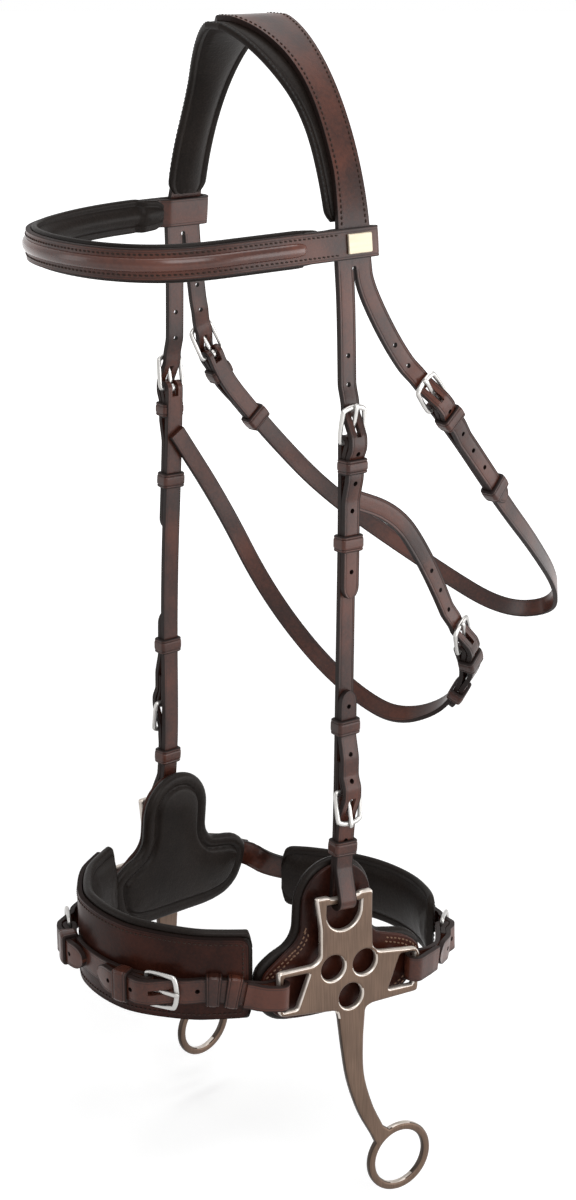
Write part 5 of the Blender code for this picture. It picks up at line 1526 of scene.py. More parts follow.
def runner(name, buckle, past, side=LEFT, length=0.0090, slack=0.0004):
    """A sliding loop round a strap and its billet, past the buckle's hinge bar."""
    s, half = buckle.s + buckle.way * past, STRAP_WIDTH / 2 + slack
    leather_loop("sliding_" + name, buckle.run, s, (-HALF - GAP, -half),
                 (LEATHER + GAP + HALF + GAP, half), length, name, side=side, node=name)


print("a keeper is", KEEPER_LENGTH, "m long")

# %% [markdown]
# A buckle's frame is one round steel wire, a little flattened, bent into a bowed
# rectangle and polished. A smooth closed curve goes through the corner points, and
# the wire is skinned along it. The tongue wraps the hinge bar and rests on the bow.

# %% Buckle frames and tongues
BUCKLE_BOW = 0.0030
TONGUE_WIDTH = 0.0024
TONGUE_THICK = 0.0018
TONGUE_TIP = 0.0022
EYE_WALL = 0.0012


def between(a, b, c, d, steps):
    """Points from b up to c on a smooth curve through all four (Catmull-Rom)."""
    return [0.5 * (2 * b + (c - a) * t + (2 * a - 5 * b + 4 * c - d) * t * t
                   + (3 * b - a - 3 * c + d) * t ** 3)
            for t in np.linspace(0.0, 1.0, steps, endpoint=False)]


def smooth_loop(points, steps=5):
    """A closed smooth curve through points."""
    points = np.asarray(points, float)
    count, done = len(points), []
    for i in range(count):
        done += between(*(points[(i + k) % count] for k in (-1, 0, 1, 2)), steps)
    return np.array(done)


def buckle_frame(name, buckle, side=LEFT):
    half, lift = buckle.half, FRONT_BAR_LIFT / BUCKLE_LENGTH
    bow_x = BUCKLE_LENGTH - BUCKLE_BOW
    corners = [(0.0, -half + 0.0012), (0.0, -half / 3), (0.0, half / 3), (0.0, half - 0.0012),
               (0.0012, half), (0.0045, half + 0.0004), (bow_x * 0.75, half + 0.0002),
               (bow_x + 0.0004, half - 0.0002)]
    corners += [(bow_x + BUCKLE_BOW * math.cos(math.radians(t)), half * math.sin(math.radians(t)))
                for t in (62, 40, 18, 0)]
    loop = corners + [(x, -b) for x, b in corners[4:-1][::-1]]
    flat = smooth_loop(loop)
    spots = [buckle.point(x, buckle.base + lift * x + 0.0004 * max(0.0, x / BUCKLE_LENGTH) ** 2, b)
             for x, b in flat]
    rings, count = [], len(spots)
    for i in range(count):
        along = unit(spots[(i + 1) % count] - spots[i - 1])
        up = unit(buckle.out - along * (buckle.out @ along))
        beside = np.cross(along, up)
        wide = 1.0 + 0.22 * max(0.0, flat[i][0] / BUCKLE_LENGTH) ** 3
        rings.append([spots[i] + WIRE * (0.96 * math.cos(t) * up + wide * math.sin(t) * beside)
                      for t in all_round(14)])
    verts, faces = loft(rings, closed=True)
    return piece("frame_of_buckle_" + name, verts, faces, STEEL, "headstall", "steel",
                 side=side, node="buckle_" + name)


def buckle_tongue(name, buckle, side=LEFT):
    base, middle = buckle.base, WIRE + GAP + EYE_WALL / 2
    rest = base + FRONT_BAR_LIFT + WIRE + GAP + TONGUE_THICK / 2
    slope = (rest - base) / BUCKLE_LENGTH
    line = [(middle * math.cos(t), base + middle * math.sin(t), EYE_WALL / 2)
            for t in np.radians(np.linspace(-20, -318, 22))]
    for share in np.linspace(0.17, 1.0, 9):
        x = BUCKLE_LENGTH * share
        line.append((x, base + slope * x, TONGUE_THICK / 2 * (0.75 + 0.25 * min(1, share * 2))))
    line += [(BUCKLE_LENGTH + TONGUE_TIP * 0.5, rest - 0.0001, TONGUE_THICK / 2 * 0.92),
             (BUCKLE_LENGTH + TONGUE_TIP * 0.85, rest - 0.0003, TONGUE_THICK / 2 * 0.7),
             (BUCKLE_LENGTH + TONGUE_TIP, rest - 0.0004, TONGUE_THICK / 2 * 0.35)]
    rings = []
    for i, (x, n, fat) in enumerate(line):
        before, after = line[max(i - 1, 0)], line[min(i + 1, len(line) - 1)]
        dx, dn = unit((after[0] - before[0], after[1] - before[1]))
        ring = []
        for t in all_round(12):
            up = fat * math.copysign(abs(math.cos(t)) ** 0.7, math.cos(t))
            wide = TONGUE_WIDTH / 2 * min(1.0, fat / TONGUE_THICK * 2.6)
            beside = wide * math.copysign(abs(math.sin(t)) ** 0.7, math.sin(t))
            ring.append(buckle.point(x - dn * up, n + dx * up, beside))
        rings.append(ring)
    verts, faces = loft(rings)
    return piece("pin_of_tongue_" + name, verts, faces, STEEL, "tongue_" + name, "steel",
                 side=side, node="tongue_" + name)


for side, name in SIDES:
    for label in ("upper", "lower"):
        full = label + "_cheek_" + name
        buckle_frame(full, BUCKLES[label], side)
        buckle_tongue(full, BUCKLES[label], side)
for full in ("throat_left", "throat_right", "jowl", "nose_left", "nose_right", "chin"):
    buckle_frame(full, BUCKLES[full])
    buckle_tongue(full, BUCKLES[full])
print("buckles and tongues", 10)

# %% [markdown]
# Each cheekpiece is one strap. It is folded round the upper buckle's bar, goes down
# to the metal cheek, turns round its top bar and comes up again to the lower buckle,
# whose own thin fold is sewn on. Near and far side are mirror images.

# %% Cheekpieces
CHEEK_FOOT_RISE = 0.0080
END_FOLD_TAIL = 0.0180
LOWER_TIP_Z = -0.3490
UPPER_RUNNER = 0.0560
LOWER_RUNNER = 0.0380
FOOT_RUNNER = 0.0350


TAIL = TURN_BACK + 0.004


def cheekpiece(side, name):
    """One strap from the upper buckle's bar, round the cheek's top bar and up again."""
    run, upper, lower = RUNS["cheek"], BUCKLES["upper"], BUCKLES["lower"]
    bar = run.nearest(CHEEK.point(TOP_BAR_E, TOP_BAR_Z, -FOLD))
    path = fold_path(upper, TAIL)[::-1] + half_turn(bar, FOLD, FOLD, -1)
    path += billet_path(lower, bar - lower.s - END_FOLD_TAIL, lower.s - run.at_height(LOWER_TIP_Z),
                        LEATHER + GAP, CHEEK_FOOT_RISE)
    strap("cheek_strap_" + name, run, path, STRAP_WIDTH, [upper], lower,
          (-0.0305, 0.0070, 0.0225, 0.0500), side=side, node="cheekpiece_" + name)
    strap("lower_chape_" + name, run, fold_path(lower, TURN_BACK), STRAP_WIDTH - 0.0004,
          [lower], thick=CHAPE, side=side, creased=False)
    sewn_keeper("upper_keeper_" + name, upper, side)
    runner("runner_upper_cheek_" + name, upper, UPPER_RUNNER, side)
    runner("runner_lower_cheek_" + name, lower, LOWER_RUNNER, side)
    runner("runner_cheek_foot_" + name, lower, -FOOT_RUNNER, side)


for side, name in SIDES:
    cheekpiece(side, name)
print("cheekpiece run", round(RUNS["cheek"].length, 4), "m")

# %% [markdown]
# The throatlatch passes under the jaw and takes a buckle at each end. The jowl strap
# below it starts inside one cheekpiece and ends inside the other, and has one buckle.

# %% Throatlatch and jowl strap
THROAT_RUNNER = 0.0780
FAR_THROAT_RUNNER = 0.0520
JOWL_RUNNER = 0.0430
JOWL_TIP = 0.0560
THROAT, JOWL = RUNS["throat"], RUNS["jowl"]
near, far, jowl_buckle = BUCKLES["throat_left"], BUCKLES["throat_right"], BUCKLES["jowl"]
throat_path = fold_path(near, TAIL)[::-1] + fold_path(far, TAIL)
strap("throat_strap_leather", THROAT, sampled(throat_path), STRAP_WIDTH, [near, far],
      node="throat_strap")
sewn_keeper("throat_keeper_near", near)
sewn_keeper("throat_keeper_far", far)
runner("runner_throat_left", near, THROAT_RUNNER)
runner("runner_throat_right", far, FAR_THROAT_RUNNER)
jowl_path = fold_path(jowl_buckle, TAIL)[::-1] + [(JOWL.length, 0.0)]
strap("jowl_strap_leather", JOWL, sampled(jowl_path), STRAP_WIDTH, [jowl_buckle],
      node="jowl_strap")
billet = billet_path(jowl_buckle, jowl_buckle.s, JOWL_TIP, 0.0)
strap("jowl_billet_leather", JOWL, sampled(billet), STRAP_WIDTH, fills=jowl_buckle,
      holes=(-0.061, -0.046, -0.0305, 0.0060, 0.0310), node="jowl_billet")
sewn_keeper("jowl_keeper", jowl_buckle)
runner("runner_jowl", jowl_buckle, JOWL_RUNNER, length=0.0080)
print("throatlatch", round(THROAT.length, 3), "m, jowl strap", round(JOWL.length, 3), "m")

# %% [markdown]
# The noseband is a wide curved leather, stitched all round, on padding whose upper
# edge rolls over. Its height changes along the nose, so it is drawn with level
# heights and not across a line.

# %% Noseband leather
LOOP_HALF = 0.0042
NOSE_LOOPS = (0.0248, 0.0361)
NOSE_GAP = 0.0006
NOSE_TOP_SIDE = -0.4875
NOSE_TOP_FRONT = -0.4840
NOSE_FOOT_SIDE = -0.5365
NOSE_FOOT_FRONT = -0.5380
NOSE_EASE = 0.50
NOSE_END_Y = -0.0605
NOSE, FRONT = nose_run(NOSE_EASE), RUNS["nose"]
NOSE_START = NOSE.nearest((0.0800, NOSE_END_Y, NOSE_STRAP_Z))
NOSE_FACE = -HALF - NOSE_GAP
NOSE_CORNER = 0.0060
NOSE_SEAM = 0.0034
NOSE_RISE_FROM = -0.0500


def nose_height(run, s, side_z, front_z):
    """Height of an edge of the noseband that rises towards the front."""
    y = run.place(s, 0.0, 0.0)[1]
    front = run.place(run.length / 2, 0.0, 0.0)[1]
    share = min(1.0, max(0.0, (y - NOSE_RISE_FROM) / (front - NOSE_RISE_FROM)))
    return side_z + (front_z - side_z) * share ** 1.5


def nose_edges(s, inset=0.0):
    """Low and high edge at s, rounded at the band's ends."""
    ahead = min(s - NOSE_START, NOSE.length - NOSE_START - s) - inset
    corner = NOSE_CORNER - inset
    short = max(0.0, corner - ahead)
    cut = corner - math.sqrt(max(0.0, corner ** 2 - min(short, corner) ** 2))
    low = nose_height(NOSE, s, NOSE_FOOT_SIDE, NOSE_FOOT_FRONT) + inset + cut
    return low, nose_height(NOSE, s, NOSE_TOP_SIDE, NOSE_TOP_FRONT) - inset - cut


def noseband():
    end = NOSE.length - NOSE_START
    curve = NOSE_CORNER * (1 - np.cos(np.linspace(0.0, 1.57, 9)))
    stations = np.concatenate([NOSE_START + curve, np.linspace(NOSE_START + NOSE_CORNER,
                               end - NOSE_CORNER, 170)[1:-1], end - curve[::-1]])
    upper, lower, margins = [], [], []
    for s in stations:
        low, high = nose_edges(s)
        tall = high - low
        steps = [0.0, CREASE - 0.0004, CREASE, CREASE + 0.0004, tall * 0.2, tall * 0.4]
        rises = steps + [tall - d for d in steps[::-1]]
        dips = [0.00022 if k in (2, 9) else 0.0 for k in range(12)]
        upper.append([NOSE.upright(s, NOSE_FACE - d, low + r) for d, r in zip(dips, rises)])
        lower.append([NOSE.upright(s, NOSE_FACE - LEATHER, low + r) for r in rises])
        near = min(s - NOSE_START, end - s)
        margins.append([(s, min(r, tall - r, near)) for r in rises])
    verts, faces, spread = sheet_solid(upper, lower, margins)
    # The noseband gets the darker leather as painted shade.
    piece("noseband_sheet", verts, faces, PAINTED_SHADE_LEATHER, "headstall", "leather", spread,
          rounding=EDGE_ROUND, node="noseband_leather")
    inset = NOSE_SEAM
    stations = np.linspace(NOSE_START + inset + 0.0003, end - inset - 0.0003, 240)
    seam = frame_seam(NOSE, NOSE_FACE, stations, lambda s: nose_edges(s, inset))
    sew("noseband_stitches", [seam], BROWN_THREAD, "headstall")
    for number, s in enumerate(NOSE_LOOPS):
        for label, spot in (("left", s), ("right", FRONT.length - s)):
            low = (NOSE_FACE - LEATHER / 2 + KEEPER_LEATHER / 2, -NOSE_STRAP_WIDTH / 2 - GAP)
            high = (HALF + NOSE_GAP, NOSE_STRAP_WIDTH / 2 + GAP)
            leather_loop("noseband_loop_%d_%s" % (number, label), FRONT, spot, low, high,
                         2 * LOOP_HALF, "headstall")


noseband()
print("noseband run", round(NOSE.length, 4), "m")

# %% Noseband padding
NOSE_PAD = 0.0070
NOSE_PAD_PROUD = 0.0030


def noseband_padding():
    end = NOSE.length - NOSE_START + NOSE_PAD_PROUD
    rings = []
    for s in np.linspace(NOSE_START - NOSE_PAD_PROUD, end, 170):
        high = nose_height(NOSE, s, NOSE_TOP_SIDE, NOSE_TOP_FRONT) + NOSE_PAD_PROUD
        low = nose_height(NOSE, s, NOSE_FOOT_SIDE, NOSE_FOOT_FRONT) - NOSE_PAD_PROUD
        section = pad_outline(NOSE_FACE - LEATHER - NOSE_GAP, NOSE_PAD, low, high, roll=0.0056,
                              channel=0.0012, full=0.0015)
        rings.append([NOSE.upright(s, n, z) for n, z in section])
    pad_piece("noseband_padding_soft", rings, "noseband_padding", cap=0.0010)


noseband_padding()
print("noseband padding", NOSE_PAD, "m thick")

# %% [markdown]
# A strap crosses the noseband's front with a buckle at each end. The billets that
# fill those buckles hang from the metal cheeks, folded round a bar of each cheek.

# %% Front strap and its billets
NOSE_TIP = 0.0330
nose_left, nose_right = BUCKLES["nose_left"], BUCKLES["nose_right"]
front_path = fold_path(nose_left, TAIL)[::-1] + fold_path(nose_right, TAIL)
strap("nose_front_strap", FRONT, sampled(front_path, 0.0100), NOSE_STRAP_WIDTH,
      [nose_left, nose_right], node="nose_strap")
sewn_keeper("nose_keeper_near", nose_left)
sewn_keeper("nose_keeper_far", nose_right)


def bends(thing, run, still, turning, side):
    """Bakes the strap's placement into its mesh."""
    start, end = (tuple(flip(run.place(s, 0.0, 0.0), side)) for s in (still, turning))
    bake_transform(thing)


for side, name in SIDES:
    folded = end_fold(0.0, 1, END_FOLD_TAIL)[::-1]
    path = folded + billet_path(nose_left, nose_left.s - END_FOLD_CLOSE, NOSE_TIP, 0.0)
    made = strap("nose_billet_leather_" + name, FRONT, sampled(path), NOSE_STRAP_WIDTH,
                 fills=nose_left, holes=(-0.0290, 0.0070, 0.0215), side=side, body=None,
                 node="nose_billet_" + name)
    bends(made, FRONT, still=0.0190, turning=0.0040, side=side)
print("nose strap", round(nose_right.s - nose_left.s, 3), "m between the buckles")

# %% [markdown]
# The chin strap comes from the far cheek and buckles on a short tab on the near one.
# Behind the chin it lies over a wide black pad, stitched round like a frame.

# %% Chin strap, tab and pad
CHIN_TIP = 0.0380
CHIN_PAD_HEIGHT = 0.0420
CHIN_PAD = 0.0085
CHIN_PAD_ENDS = ((0.0540, 0.0980, CHIN_Z), (-0.0690, 0.0760, CHIN_Z))
CHIN_CORNER = 0.0080
CHIN_SEAM = 0.0050
CHIN, chin_buckle = RUNS["chin"], BUCKLES["chin"]
tab_path = end_fold(0.0, 1, END_FOLD_TAIL)[::-1] + fold_path(chin_buckle, END_FOLD_CLOSE)
tab = strap("chin_tab_leather", CHIN, sampled(tab_path, 0.0080), CURB_STRAP_WIDTH,
            [chin_buckle], body=None, node="chin_tab")
bends(tab, CHIN, chin_buckle.s - 0.0060, 0.0050, LEFT)
end_path = end_fold(CHIN.length, -1, END_FOLD_TAIL)[::-1]
end_path += billet_path(chin_buckle, CHIN.length - chin_buckle.s - END_FOLD_CLOSE, CHIN_TIP, 0.0)
long_strap = strap("chin_strap_leather", CHIN, sampled(end_path, 0.0080), CURB_STRAP_WIDTH,
                   fills=chin_buckle, holes=(-0.0600, -0.0450, -0.0300, 0.0070, 0.0230),
                   body=None, node="chin_strap")
bends(long_strap, CHIN, CHIN.length - 0.0260, CHIN.length - 0.0050, LEFT)


def chin_padding():
    start, end = (CHIN.nearest(spot) for spot in CHIN_PAD_ENDS)
    top, high = -HALF - NOSE_GAP, CHIN_PAD_HEIGHT / 2
    rings, rim = [], ([], [])
    for s in np.linspace(start, end, 130):
        close = min(s - start, end - s)
        short = max(0.0, CHIN_CORNER - close)
        tall = high - CHIN_CORNER + math.sqrt(CHIN_CORNER ** 2 - short ** 2)
        drop = 0.0030 * max(0.0, 1.0 - close / 0.010)
        section = pad_outline(top, CHIN_PAD - drop, CHIN_Z - tall, CHIN_Z + tall, roll=0.0050,
                              channel=0.0008)
        rings.append([CHIN.upright(s, n, z) for n, z in section])
    made = pad_piece("chin_padding", rings, "chin_pad", cap=0.0012)
    inset = CHIN_SEAM
    stations = np.linspace(start + inset, end - inset, 160)
    seam = frame_seam(CHIN, top + 0.0001, stations,
                      lambda s: (CHIN_Z - high + inset, CHIN_Z + high - inset))
    sew("chin_pad_stitches", [seam], BLACK_THREAD, "headstall", "padding")
    return made


chin_padding()
print("chin strap", round(CHIN.length, 3), "m")

# %% [markdown]
# The metal cheek is one flat casting. Its outline is drawn as on paper, with windows
# for the straps and three round holes, then given its thickness with rounded edges.

# %% Outline of the metal cheek
BAR = 0.0040
NECK_HALF = 0.0190
HORN = 0.0085
HORN_RISE = 0.0014
ARM = SIDE_BAR_E + BAR / 2
SIDE_SLOT = 0.0135
SIDE_SLOT_HALF = 0.0104
SIDE_SLOT_SLANT = 0.0035
RING_E = 0.0432
RING_Z = -0.1280
RING_OUTER = 0.0219


def eased(points, steps=6):
    """An open smooth curve through rows of numbers."""
    grid = np.asarray(points, float)
    grid = np.concatenate([[2 * grid[0] - grid[1]], grid, [2 * grid[-1] - grid[-2]]])
    done = []
    for four in zip(grid[:-3], grid[1:-2], grid[2:-1], grid[3:]):
        done += between(*four, steps)
    return done + [grid[-2]]


def rounded(points, radius, steps=4):
    """A closed outline whose corners are eased with a small parabola each."""
    points, done = [np.asarray(p, float) for p in points], []
    for i, corner in enumerate(points):
        ways = []
        for other in (points[i - 1], points[(i + 1) % len(points)]):
            leg = other - corner
            far = np.linalg.norm(leg)
            ways.append(corner + leg / far * min(radius, far * 0.45))
        done += parabola(ways[0], corner, ways[1], steps)
    return done


def cheek_outline():
    """Neck with two horns, two arms and a shank that sweeps back to the rein ring."""
    left, right = TOP_BAR_E - NECK_HALF, TOP_BAR_E + NECK_HALF
    notch = TOP_BAR_Z + BAR / 2
    top = notch + HORN_RISE
    shank = eased([(0.0031, -0.0270, 0.0092), (0.0050, -0.0470, 0.0073),
                   (0.0086, -0.0686, 0.0058), (0.0166, -0.0900, 0.0051),
                   (0.0262, -0.1070, 0.0046)])
    front, rear = [], []
    for i, (e, z, half) in enumerate(shank):
        before, after = shank[max(i - 1, 0)], shank[min(i + 1, len(shank) - 1)]
        de, dz = unit((after[0] - before[0], after[1] - before[1]))
        rear.append((e - dz * half, z + de * half))
        front.append((e + dz * half, z - de * half))
    start = math.degrees(math.atan2(rear[-1][1] - RING_Z, rear[-1][0] - RING_E))
    end = math.degrees(math.atan2(front[-1][1] - RING_Z, front[-1][0] - RING_E))
    ring = arc((RING_E, RING_Z), RING_OUTER, start - 6, end + 6 - 360, 60)
    head = [(left, top), (left + HORN, top), (left + HORN + HORN_RISE, notch),
            (right - HORN - HORN_RISE, notch), (right - HORN, top), (right, top),
            (0.0135, 0.0300), (0.0150, 0.0135), (0.0190, 0.0100), (ARM - 0.0030, 0.0072),
            (ARM, 0.0035), (ARM, -0.0195), (ARM - 0.0012, -0.0209), (0.0165, -0.0224),
            (0.0128, -0.0240)]
    foot = [(-0.0075, -0.0225), (0.0045 - ARM, -0.0190), (0.0020 - ARM, -0.0165),
            (-ARM, 0.0070), (0.0015 - ARM, 0.0088), (-0.0245, 0.0092), (-0.0205, 0.0125),
            (-0.0215, 0.0300)]
    corner = [np.array(p) for p in head + rear[:1] + front[:1] + foot]
    soft = rounded(corner, 0.0022)
    steps = 4
    turn = len(head) * steps
    return soft[:turn] + rear + ring + front[::-1] + soft[turn + 2 * steps:]


def side_slot(way):
    """Slanted window inboard of an arm's bar, closed by the bar at the arm's end."""
    outer = way * (SIDE_BAR_E - BAR / 2)
    inner = way * (SIDE_BAR_E - BAR / 2 - SIDE_SLOT)
    low, high = SIDE_BAR_Z - SIDE_SLOT_HALF, SIDE_BAR_Z + SIDE_SLOT_HALF
    lean = SIDE_SLOT_SLANT
    return rounded([(outer, low), (outer, high), (inner + lean, high), (inner - lean, low)],
                   0.0014)


print("cheek outline has", len(cheek_outline()), "points")

# %% [markdown]
# Rounded edges that face up or to the front get a brighter metal as a painted
# highlight, so that the horns, the arms and the lower rims of the holes shine. The
# sides of the shank and the ring get a darker metal as painted shade.

# %% Metal cheeks
CHEEK_METAL = 0.0045
TOP_SLOT = 0.0114
TOP_SLOT_DEPTH = 0.0050
ROUND_HOLE = 0.0078
ROUND_HOLES = ((-0.0117, 0.0050), (0.0097, 0.0050), (0.0014, -0.0147))
RING_INNER = 0.0170
CHEEK_ROUND = 0.0017
SHANK_TOP = -0.0262


def flat_solid(name, loops, thick, edge, resolution=3):
    """A filled drawing given thickness, with rounded edges: points (e, z, n), faces."""
    curve = bpy.data.curves.new(name, "CURVE")
    curve.dimensions = "2D"
    curve.fill_mode = "BOTH"
    curve.extrude = thick / 2 - edge
    curve.bevel_depth = edge
    curve.bevel_resolution = resolution
    curve.offset = -edge
    for loop in loops:
        line = curve.splines.new("POLY")
        line.points.add(len(loop) - 1)
        for spot, (x, y) in zip(line.points, loop):
            spot.co = (x, y, 0.0, 1.0)
        line.use_cyclic_u = True
    flat = add(name, curve)
    mesh = as_shown(flat)
    shape = bmesh.new()
    shape.from_mesh(mesh)
    bmesh.ops.remove_doubles(shape, verts=shape.verts, dist=2e-6)
    shape.verts.index_update()
    verts = [tuple(v.co) for v in shape.verts]
    faces = [tuple(v.index for v in f.verts) for f in shape.faces]
    shape.free()
    bpy.data.objects.remove(flat, do_unlink=True)
    bpy.data.meshes.remove(mesh)
    return verts, faces


def metal_cheek(side, name):
    """One casting. lean is 1 on its flat faces and 0 on its edges, up is 1 on an edge
    that faces up and back is 1 on one that faces rearward. Edges that face up or
    forward get a brighter metal as a painted highlight, and the sides a darker one
    as painted shade."""
    slot_top = TOP_BAR_Z - BAR / 2
    bowl = arc((TOP_BAR_E, slot_top - TOP_SLOT_DEPTH), TOP_SLOT, 180, 360, 24)
    bowl += [(TOP_BAR_E + TOP_SLOT, slot_top), (TOP_BAR_E - TOP_SLOT, slot_top)]
    windows = [bowl] + [side_slot(way) for way in (1, -1)]
    windows += [arc(spot, ROUND_HOLE, 0, 352.5, 48) for spot in ROUND_HOLES]
    windows.append(arc((RING_E, RING_Z), RING_INNER, 0, 354, 60))
    verts, faces = flat_solid("cheek", [cheek_outline()] + windows, CHEEK_METAL, CHEEK_ROUND)
    made = piece("metal_cheek_" + name, [CHEEK.point(e, z, n) for e, z, n in verts], faces,
                 BROWN_METAL, "cheek_" + name, "bronze", side=side,
                 node="hackamore_cheek_" + name)
    made.data.materials.append(PAINTED_HIGHLIGHT_METAL)
    made.data.materials.append(PAINTED_SHADE_METAL)
    for face in made.data.polygons:
        way = flip(face.normal, side)
        lean, up, back = abs(float(way @ CHEEK.n)), float(way @ CHEEK.z), float(way @ CHEEK.e)
        low = (flip(face.center, side) - CHEEK.centre) @ CHEEK.z < SHANK_TOP
        # Painted light: edges facing up or forward get the brighter metal as painted highlight,
        # the sides the darker metal as painted shade.
        if low and lean < 0.75:
            face.material_index = 1 if up > 0.8 else 2
        elif lean < 0.98 and not low:
            face.material_index = 1 if up > 0.12 or back < -0.5 else 2 if lean < 0.4 else 0
    return made


for side, name in SIDES:
    metal_cheek(side, name)
print("metal", CHEEK_METAL, "m thick")

# %% [markdown]
# Behind the metal lies a bell-shaped leather shield with two rows of light stitches
# on each flare, and behind that a thick pad with the same outline.

# %% Leather shields
SHIELD_BACK = 0.0066
SHIELD_LEATHER = 0.0026
SHIELD_HALF = 0.0540
SHIELD_DOME = 0.0230
SHIELD_TOP = 0.0650
SHIELD_FOOT = -0.0265
FLARE = 0.0140
FLARE_Z = 0.0300
FLARE_SEAM_FROM = 0.0245
SHIELD_CORNER = 0.0060


def shield_outline(grow=0.0, fine=3):
    """Bell shape: a dome over the neck that flares to a wide foot."""
    centre, dome = TOP_BAR_E, SHIELD_DOME + grow
    foot, half = SHIELD_FOOT - grow, SHIELD_HALF + grow
    head = arc((centre, SHIELD_TOP + grow - dome), dome, 0, 180, 12 * fine + 1)
    flare = arc((centre - dome - FLARE, FLARE_Z), FLARE, 0, -62, 4 * fine + 1)
    left = flare + [(-half + 0.0100, 0.0120 + grow), (-half, 0.0040 + grow),
                    (-half + 0.0010, -0.0060), (-half + 0.0060, foot + 0.0090),
                    (-half + 0.0150, foot + 0.0020), (-half + 0.0300, foot)]
    flare = arc((centre + dome + FLARE, FLARE_Z), FLARE, 242, 180, 4 * fine + 1)
    right = [(half - 0.0300, foot), (half - 0.0150, foot + 0.0030),
             (half - 0.0050, foot + 0.0110), (half, -0.0040), (half, 0.0040 + grow),
             (half - 0.0100, 0.0120 + grow)] + flare
    return head + left + right


def inset_line(points, inset):
    """The outline drawn in by a fixed distance, evenly spaced and smooth."""
    ring = np.array(smooth_loop(points, 3))
    around = np.roll(ring, -1, axis=0) - np.roll(ring, 1, axis=0)
    around /= np.maximum(np.linalg.norm(around, axis=1), 1e-9)[:, None]
    inward = np.stack([-around[:, 1], around[:, 0]], axis=1)
    return ring + inward * inset


def leather_shield(side, name):
    outline = rounded(shield_outline(), SHIELD_CORNER)
    verts, faces = flat_solid("shield", [outline], SHIELD_LEATHER, 0.0009, 2)
    middle = -SHIELD_BACK - SHIELD_LEATHER / 2
    # The shield gets the darker leather as painted shade.
    made = piece("shield_leather_" + name, [CHEEK.point(e, z, n + middle) for e, z, n in verts],
                 faces, PAINTED_SHADE_LEATHER, "cheek_" + name, "leather",
                 [(e, 0.0060) for e, _, _ in verts], side, node="cheek_shield_" + name)
    lines = []
    for inset in (0.0030, 0.0056):
        ring = inset_line(shield_outline(), inset)
        for way in (-1, 1):
            part = [p for p in ring if way * p[0] > FLARE_SEAM_FROM and p[1] < FLARE_Z]
            start = max(range(len(part)), key=lambda k: math.dist(part[k], part[k - 1]))
            part = part[start:] + part[:start]
            spots = [CHEEK.point(e, z, -SHIELD_BACK) for e, z in part]
            lines.append((spots, [CHEEK.n] * len(spots)))
    sew("shield_stitches_" + name, lines, LIGHT_THREAD, "cheek_" + name, side=side)
    return made


for side, name in SIDES:
    leather_shield(side, name)
print("shield leather", SHIELD_LEATHER, "m thick")

# %% Shield pads
SHIELD_PAD = 0.0070
PAD_VOXEL = 0.0011
PAD_CHANNEL = 0.0080
PAD_PROUD = 0.0025


def rim_distance(points, ring):
    """How far each (e, z) lies from the nearest edge of a closed outline."""
    ring = np.asarray(ring, float)
    ahead = np.roll(ring, -1, axis=0)
    best = np.full(len(points), 1e9)
    for a, b in zip(ring, ahead):
        leg = b - a
        share = np.clip(((points - a) @ leg) / max(float(leg @ leg), 1e-12), 0.0, 1.0)
        best = np.minimum(best, np.linalg.norm(points - a - share[:, None] * leg, axis=1))
    return best


def shield_pad(side, name):
    """A full pad with a rolled rim, a stitched channel and a raised bell panel."""
    outline = rounded(shield_outline(PAD_PROUD), SHIELD_CORNER)
    verts, faces = flat_solid("pad", [outline], SHIELD_PAD, 0.0026, 3)
    made = piece("shield_pad_" + name, verts, faces, PADDING_FINISH, None, "padding")
    remesh = made.modifiers.new("even", "REMESH")
    remesh.mode = "VOXEL"
    remesh.voxel_size = PAD_VOXEL
    settle(made)
    points = points_of(made)
    from_rim = rim_distance(points[:, :2], outline)
    inner = points[:, 2] < -0.0002
    channel = np.exp(-((from_rim - PAD_CHANNEL) / 0.0011) ** 2)
    crown = 1.0 - np.clip((from_rim - PAD_CHANNEL) / 0.012, 0.0, 1.0)
    rim_roll = np.clip(from_rim / 0.0040, 0.0, 1.0)
    full = np.where(inner, 0.0022 * channel - 0.0022 * (1.0 - crown) ** 0.6, 0.0)
    slim = 0.0006 * (1.0 - rim_roll)
    points[:, 2] += np.where(inner, full + slim, -slim)
    move_to(made, points)
    held = np.where(inner & (from_rim > PAD_CHANNEL + 0.0015), 0.0, 1.0)
    swell(made, pressure=3.0, cap=0.0008, pinned=held)
    middle = -SHIELD_BACK - SHIELD_LEATHER - GAP - SHIELD_PAD / 2
    move_to(made, [flip(CHEEK.point(e, z, n + middle), side) for e, z, n in points_of(made)])
    if side > 0:
        made.data.flip_normals()
    made.data.shade_smooth()
    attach(made, "cheek_" + name)
    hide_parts("cheek_padding_" + name)
    return made


for side, name in SIDES:
    shield_pad(side, name)
print("pads", SHIELD_PAD, "m thick")

# %% [markdown]
# A round white floor, bright far out and plain near the bridle, where it takes the
# shadow, under large soft lamps as on a product table. Light Path keeps its added
# whiteness off the bridle: only the camera and what metal mirrors show it. The camera
# stands ahead and to the left, a little above, at the photo's angle.

# %% Floor and light
FLOOR_Z = -0.700
FLOOR_WIDE = 14.0
RAYS_THAT_SHOW_WHITE = ("Is Glossy Ray", "Is Transmission Ray", "Is Camera Ray")


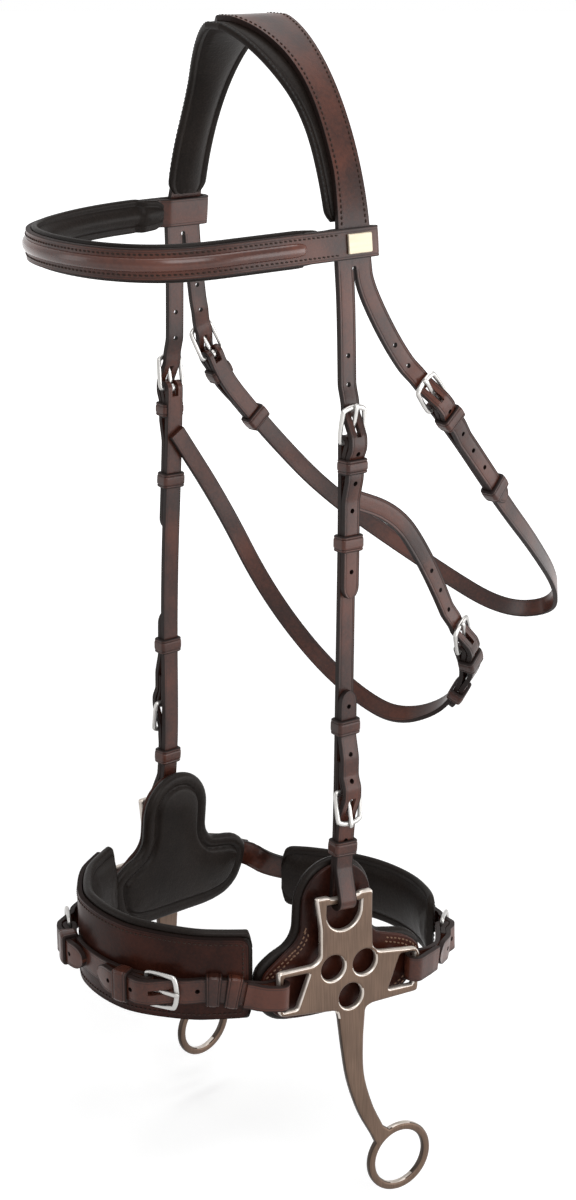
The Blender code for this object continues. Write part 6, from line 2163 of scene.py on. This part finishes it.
def white_floor():
    """White paper; only the camera, mirrors and glass see its added whiteness."""
    paper = Finish("white_paper", Roughness=0.9, Emission_Strength=1.0,
                   Base_Color=(0.95, 0.95, 0.95, 1.0))
    away = paper.node("VectorMath", {"operation": "LENGTH"}, {0: paper.place()}, 1)
    glossy, through, camera = (paper.node("LightPath", out=ray) for ray in RAYS_THAT_SHOW_WHITE)
    seen = camera + glossy + through
    paper.drive("Emission Color", paper.mix((0.0, 0.0, 0.0, 1.0), (1.0, 1.0, 1.0, 1.0),
                                            seen * (0.28 + away.rise(0.7, 2.2) * 0.72)))
    return paper.material


def studio():
    verts = [(FLOOR_WIDE * math.cos(t), FLOOR_WIDE * math.sin(t), FLOOR_Z) for t in all_round(64)]
    mesh = mesh_of("studio_floor", verts, [range(len(verts))])
    floor = add("studio_floor", mesh)
    mesh.materials.append(white_floor())
    return floor


def lamp(name, place, aim, wide, tall, power):
    light = bpy.data.lights.new(name, "AREA")
    light.shape = "RECTANGLE"
    light.size, light.size_y = wide, tall
    light.energy = power
    made = add(name, light)
    made.location = place
    made.rotation_euler = (Vector(aim) - Vector(place)).to_track_quat("-Z", "Y").to_euler()
    return made


def studio_air():
    """Even soft light from all round; the camera, metal and glass see plain white."""
    world = bpy.data.worlds.new("studio_air")
    bpy.context.scene.world = world
    world.use_nodes = True
    air = Nodes(world.node_tree)
    shown = air.node("Background", {}, {"Color": (0.26, 0.26, 0.26, 1.0)})
    white = air.node("Background", {}, {"Color": (1.0, 1.0, 1.0, 1.0)})
    for ray in RAYS_THAT_SHOW_WHITE:
        shown = air.node("MixShader", {}, {0: air.node("LightPath", out=ray), 1: shown, 2: white})
    air.plug(air.tree.nodes["World Output"].inputs["Surface"], shown)


studio()
studio_air()
CENTRE = (0.0, 0.02, -0.33)
LAMPS = (("key", (1.5, -0.6, 0.9), 1.0, 1.3, 18.0), ("side", (1.35, 1.05, -0.22), 1.8, 0.9, 18.0),
         ("front", (-1.0, -1.5, 0.2), 0.7, 1.2, 4.0), ("top", (0.0, 0.3, 1.4), 1.4, 1.4, 16.0))
for name, place, wide, tall, power in LAMPS:
    lamp(name, place, CENTRE, wide, tall, power)
print("lamps", len(LAMPS))

# %% Camera and size
SENSOR, LENS = 36.0, 64.11
EYE = (0.9375, -0.7048, 0.069)
LOOK, PITCH = math.radians(52.0), math.radians(18.3)
camera_data = bpy.data.cameras.new("photo_camera")
camera_data.sensor_width = SENSOR
camera_data.lens = LENS
camera = add("photo_camera", camera_data)
forward = Vector((-math.sin(LOOK) * math.cos(PITCH), math.cos(LOOK) * math.cos(PITCH),
                  -math.sin(PITCH)))
camera.location = EYE
camera.rotation_euler = forward.to_track_quat("-Z", "Y").to_euler()
bpy.context.scene.camera = camera
bpy.context.scene.view_settings.view_transform = "Standard"
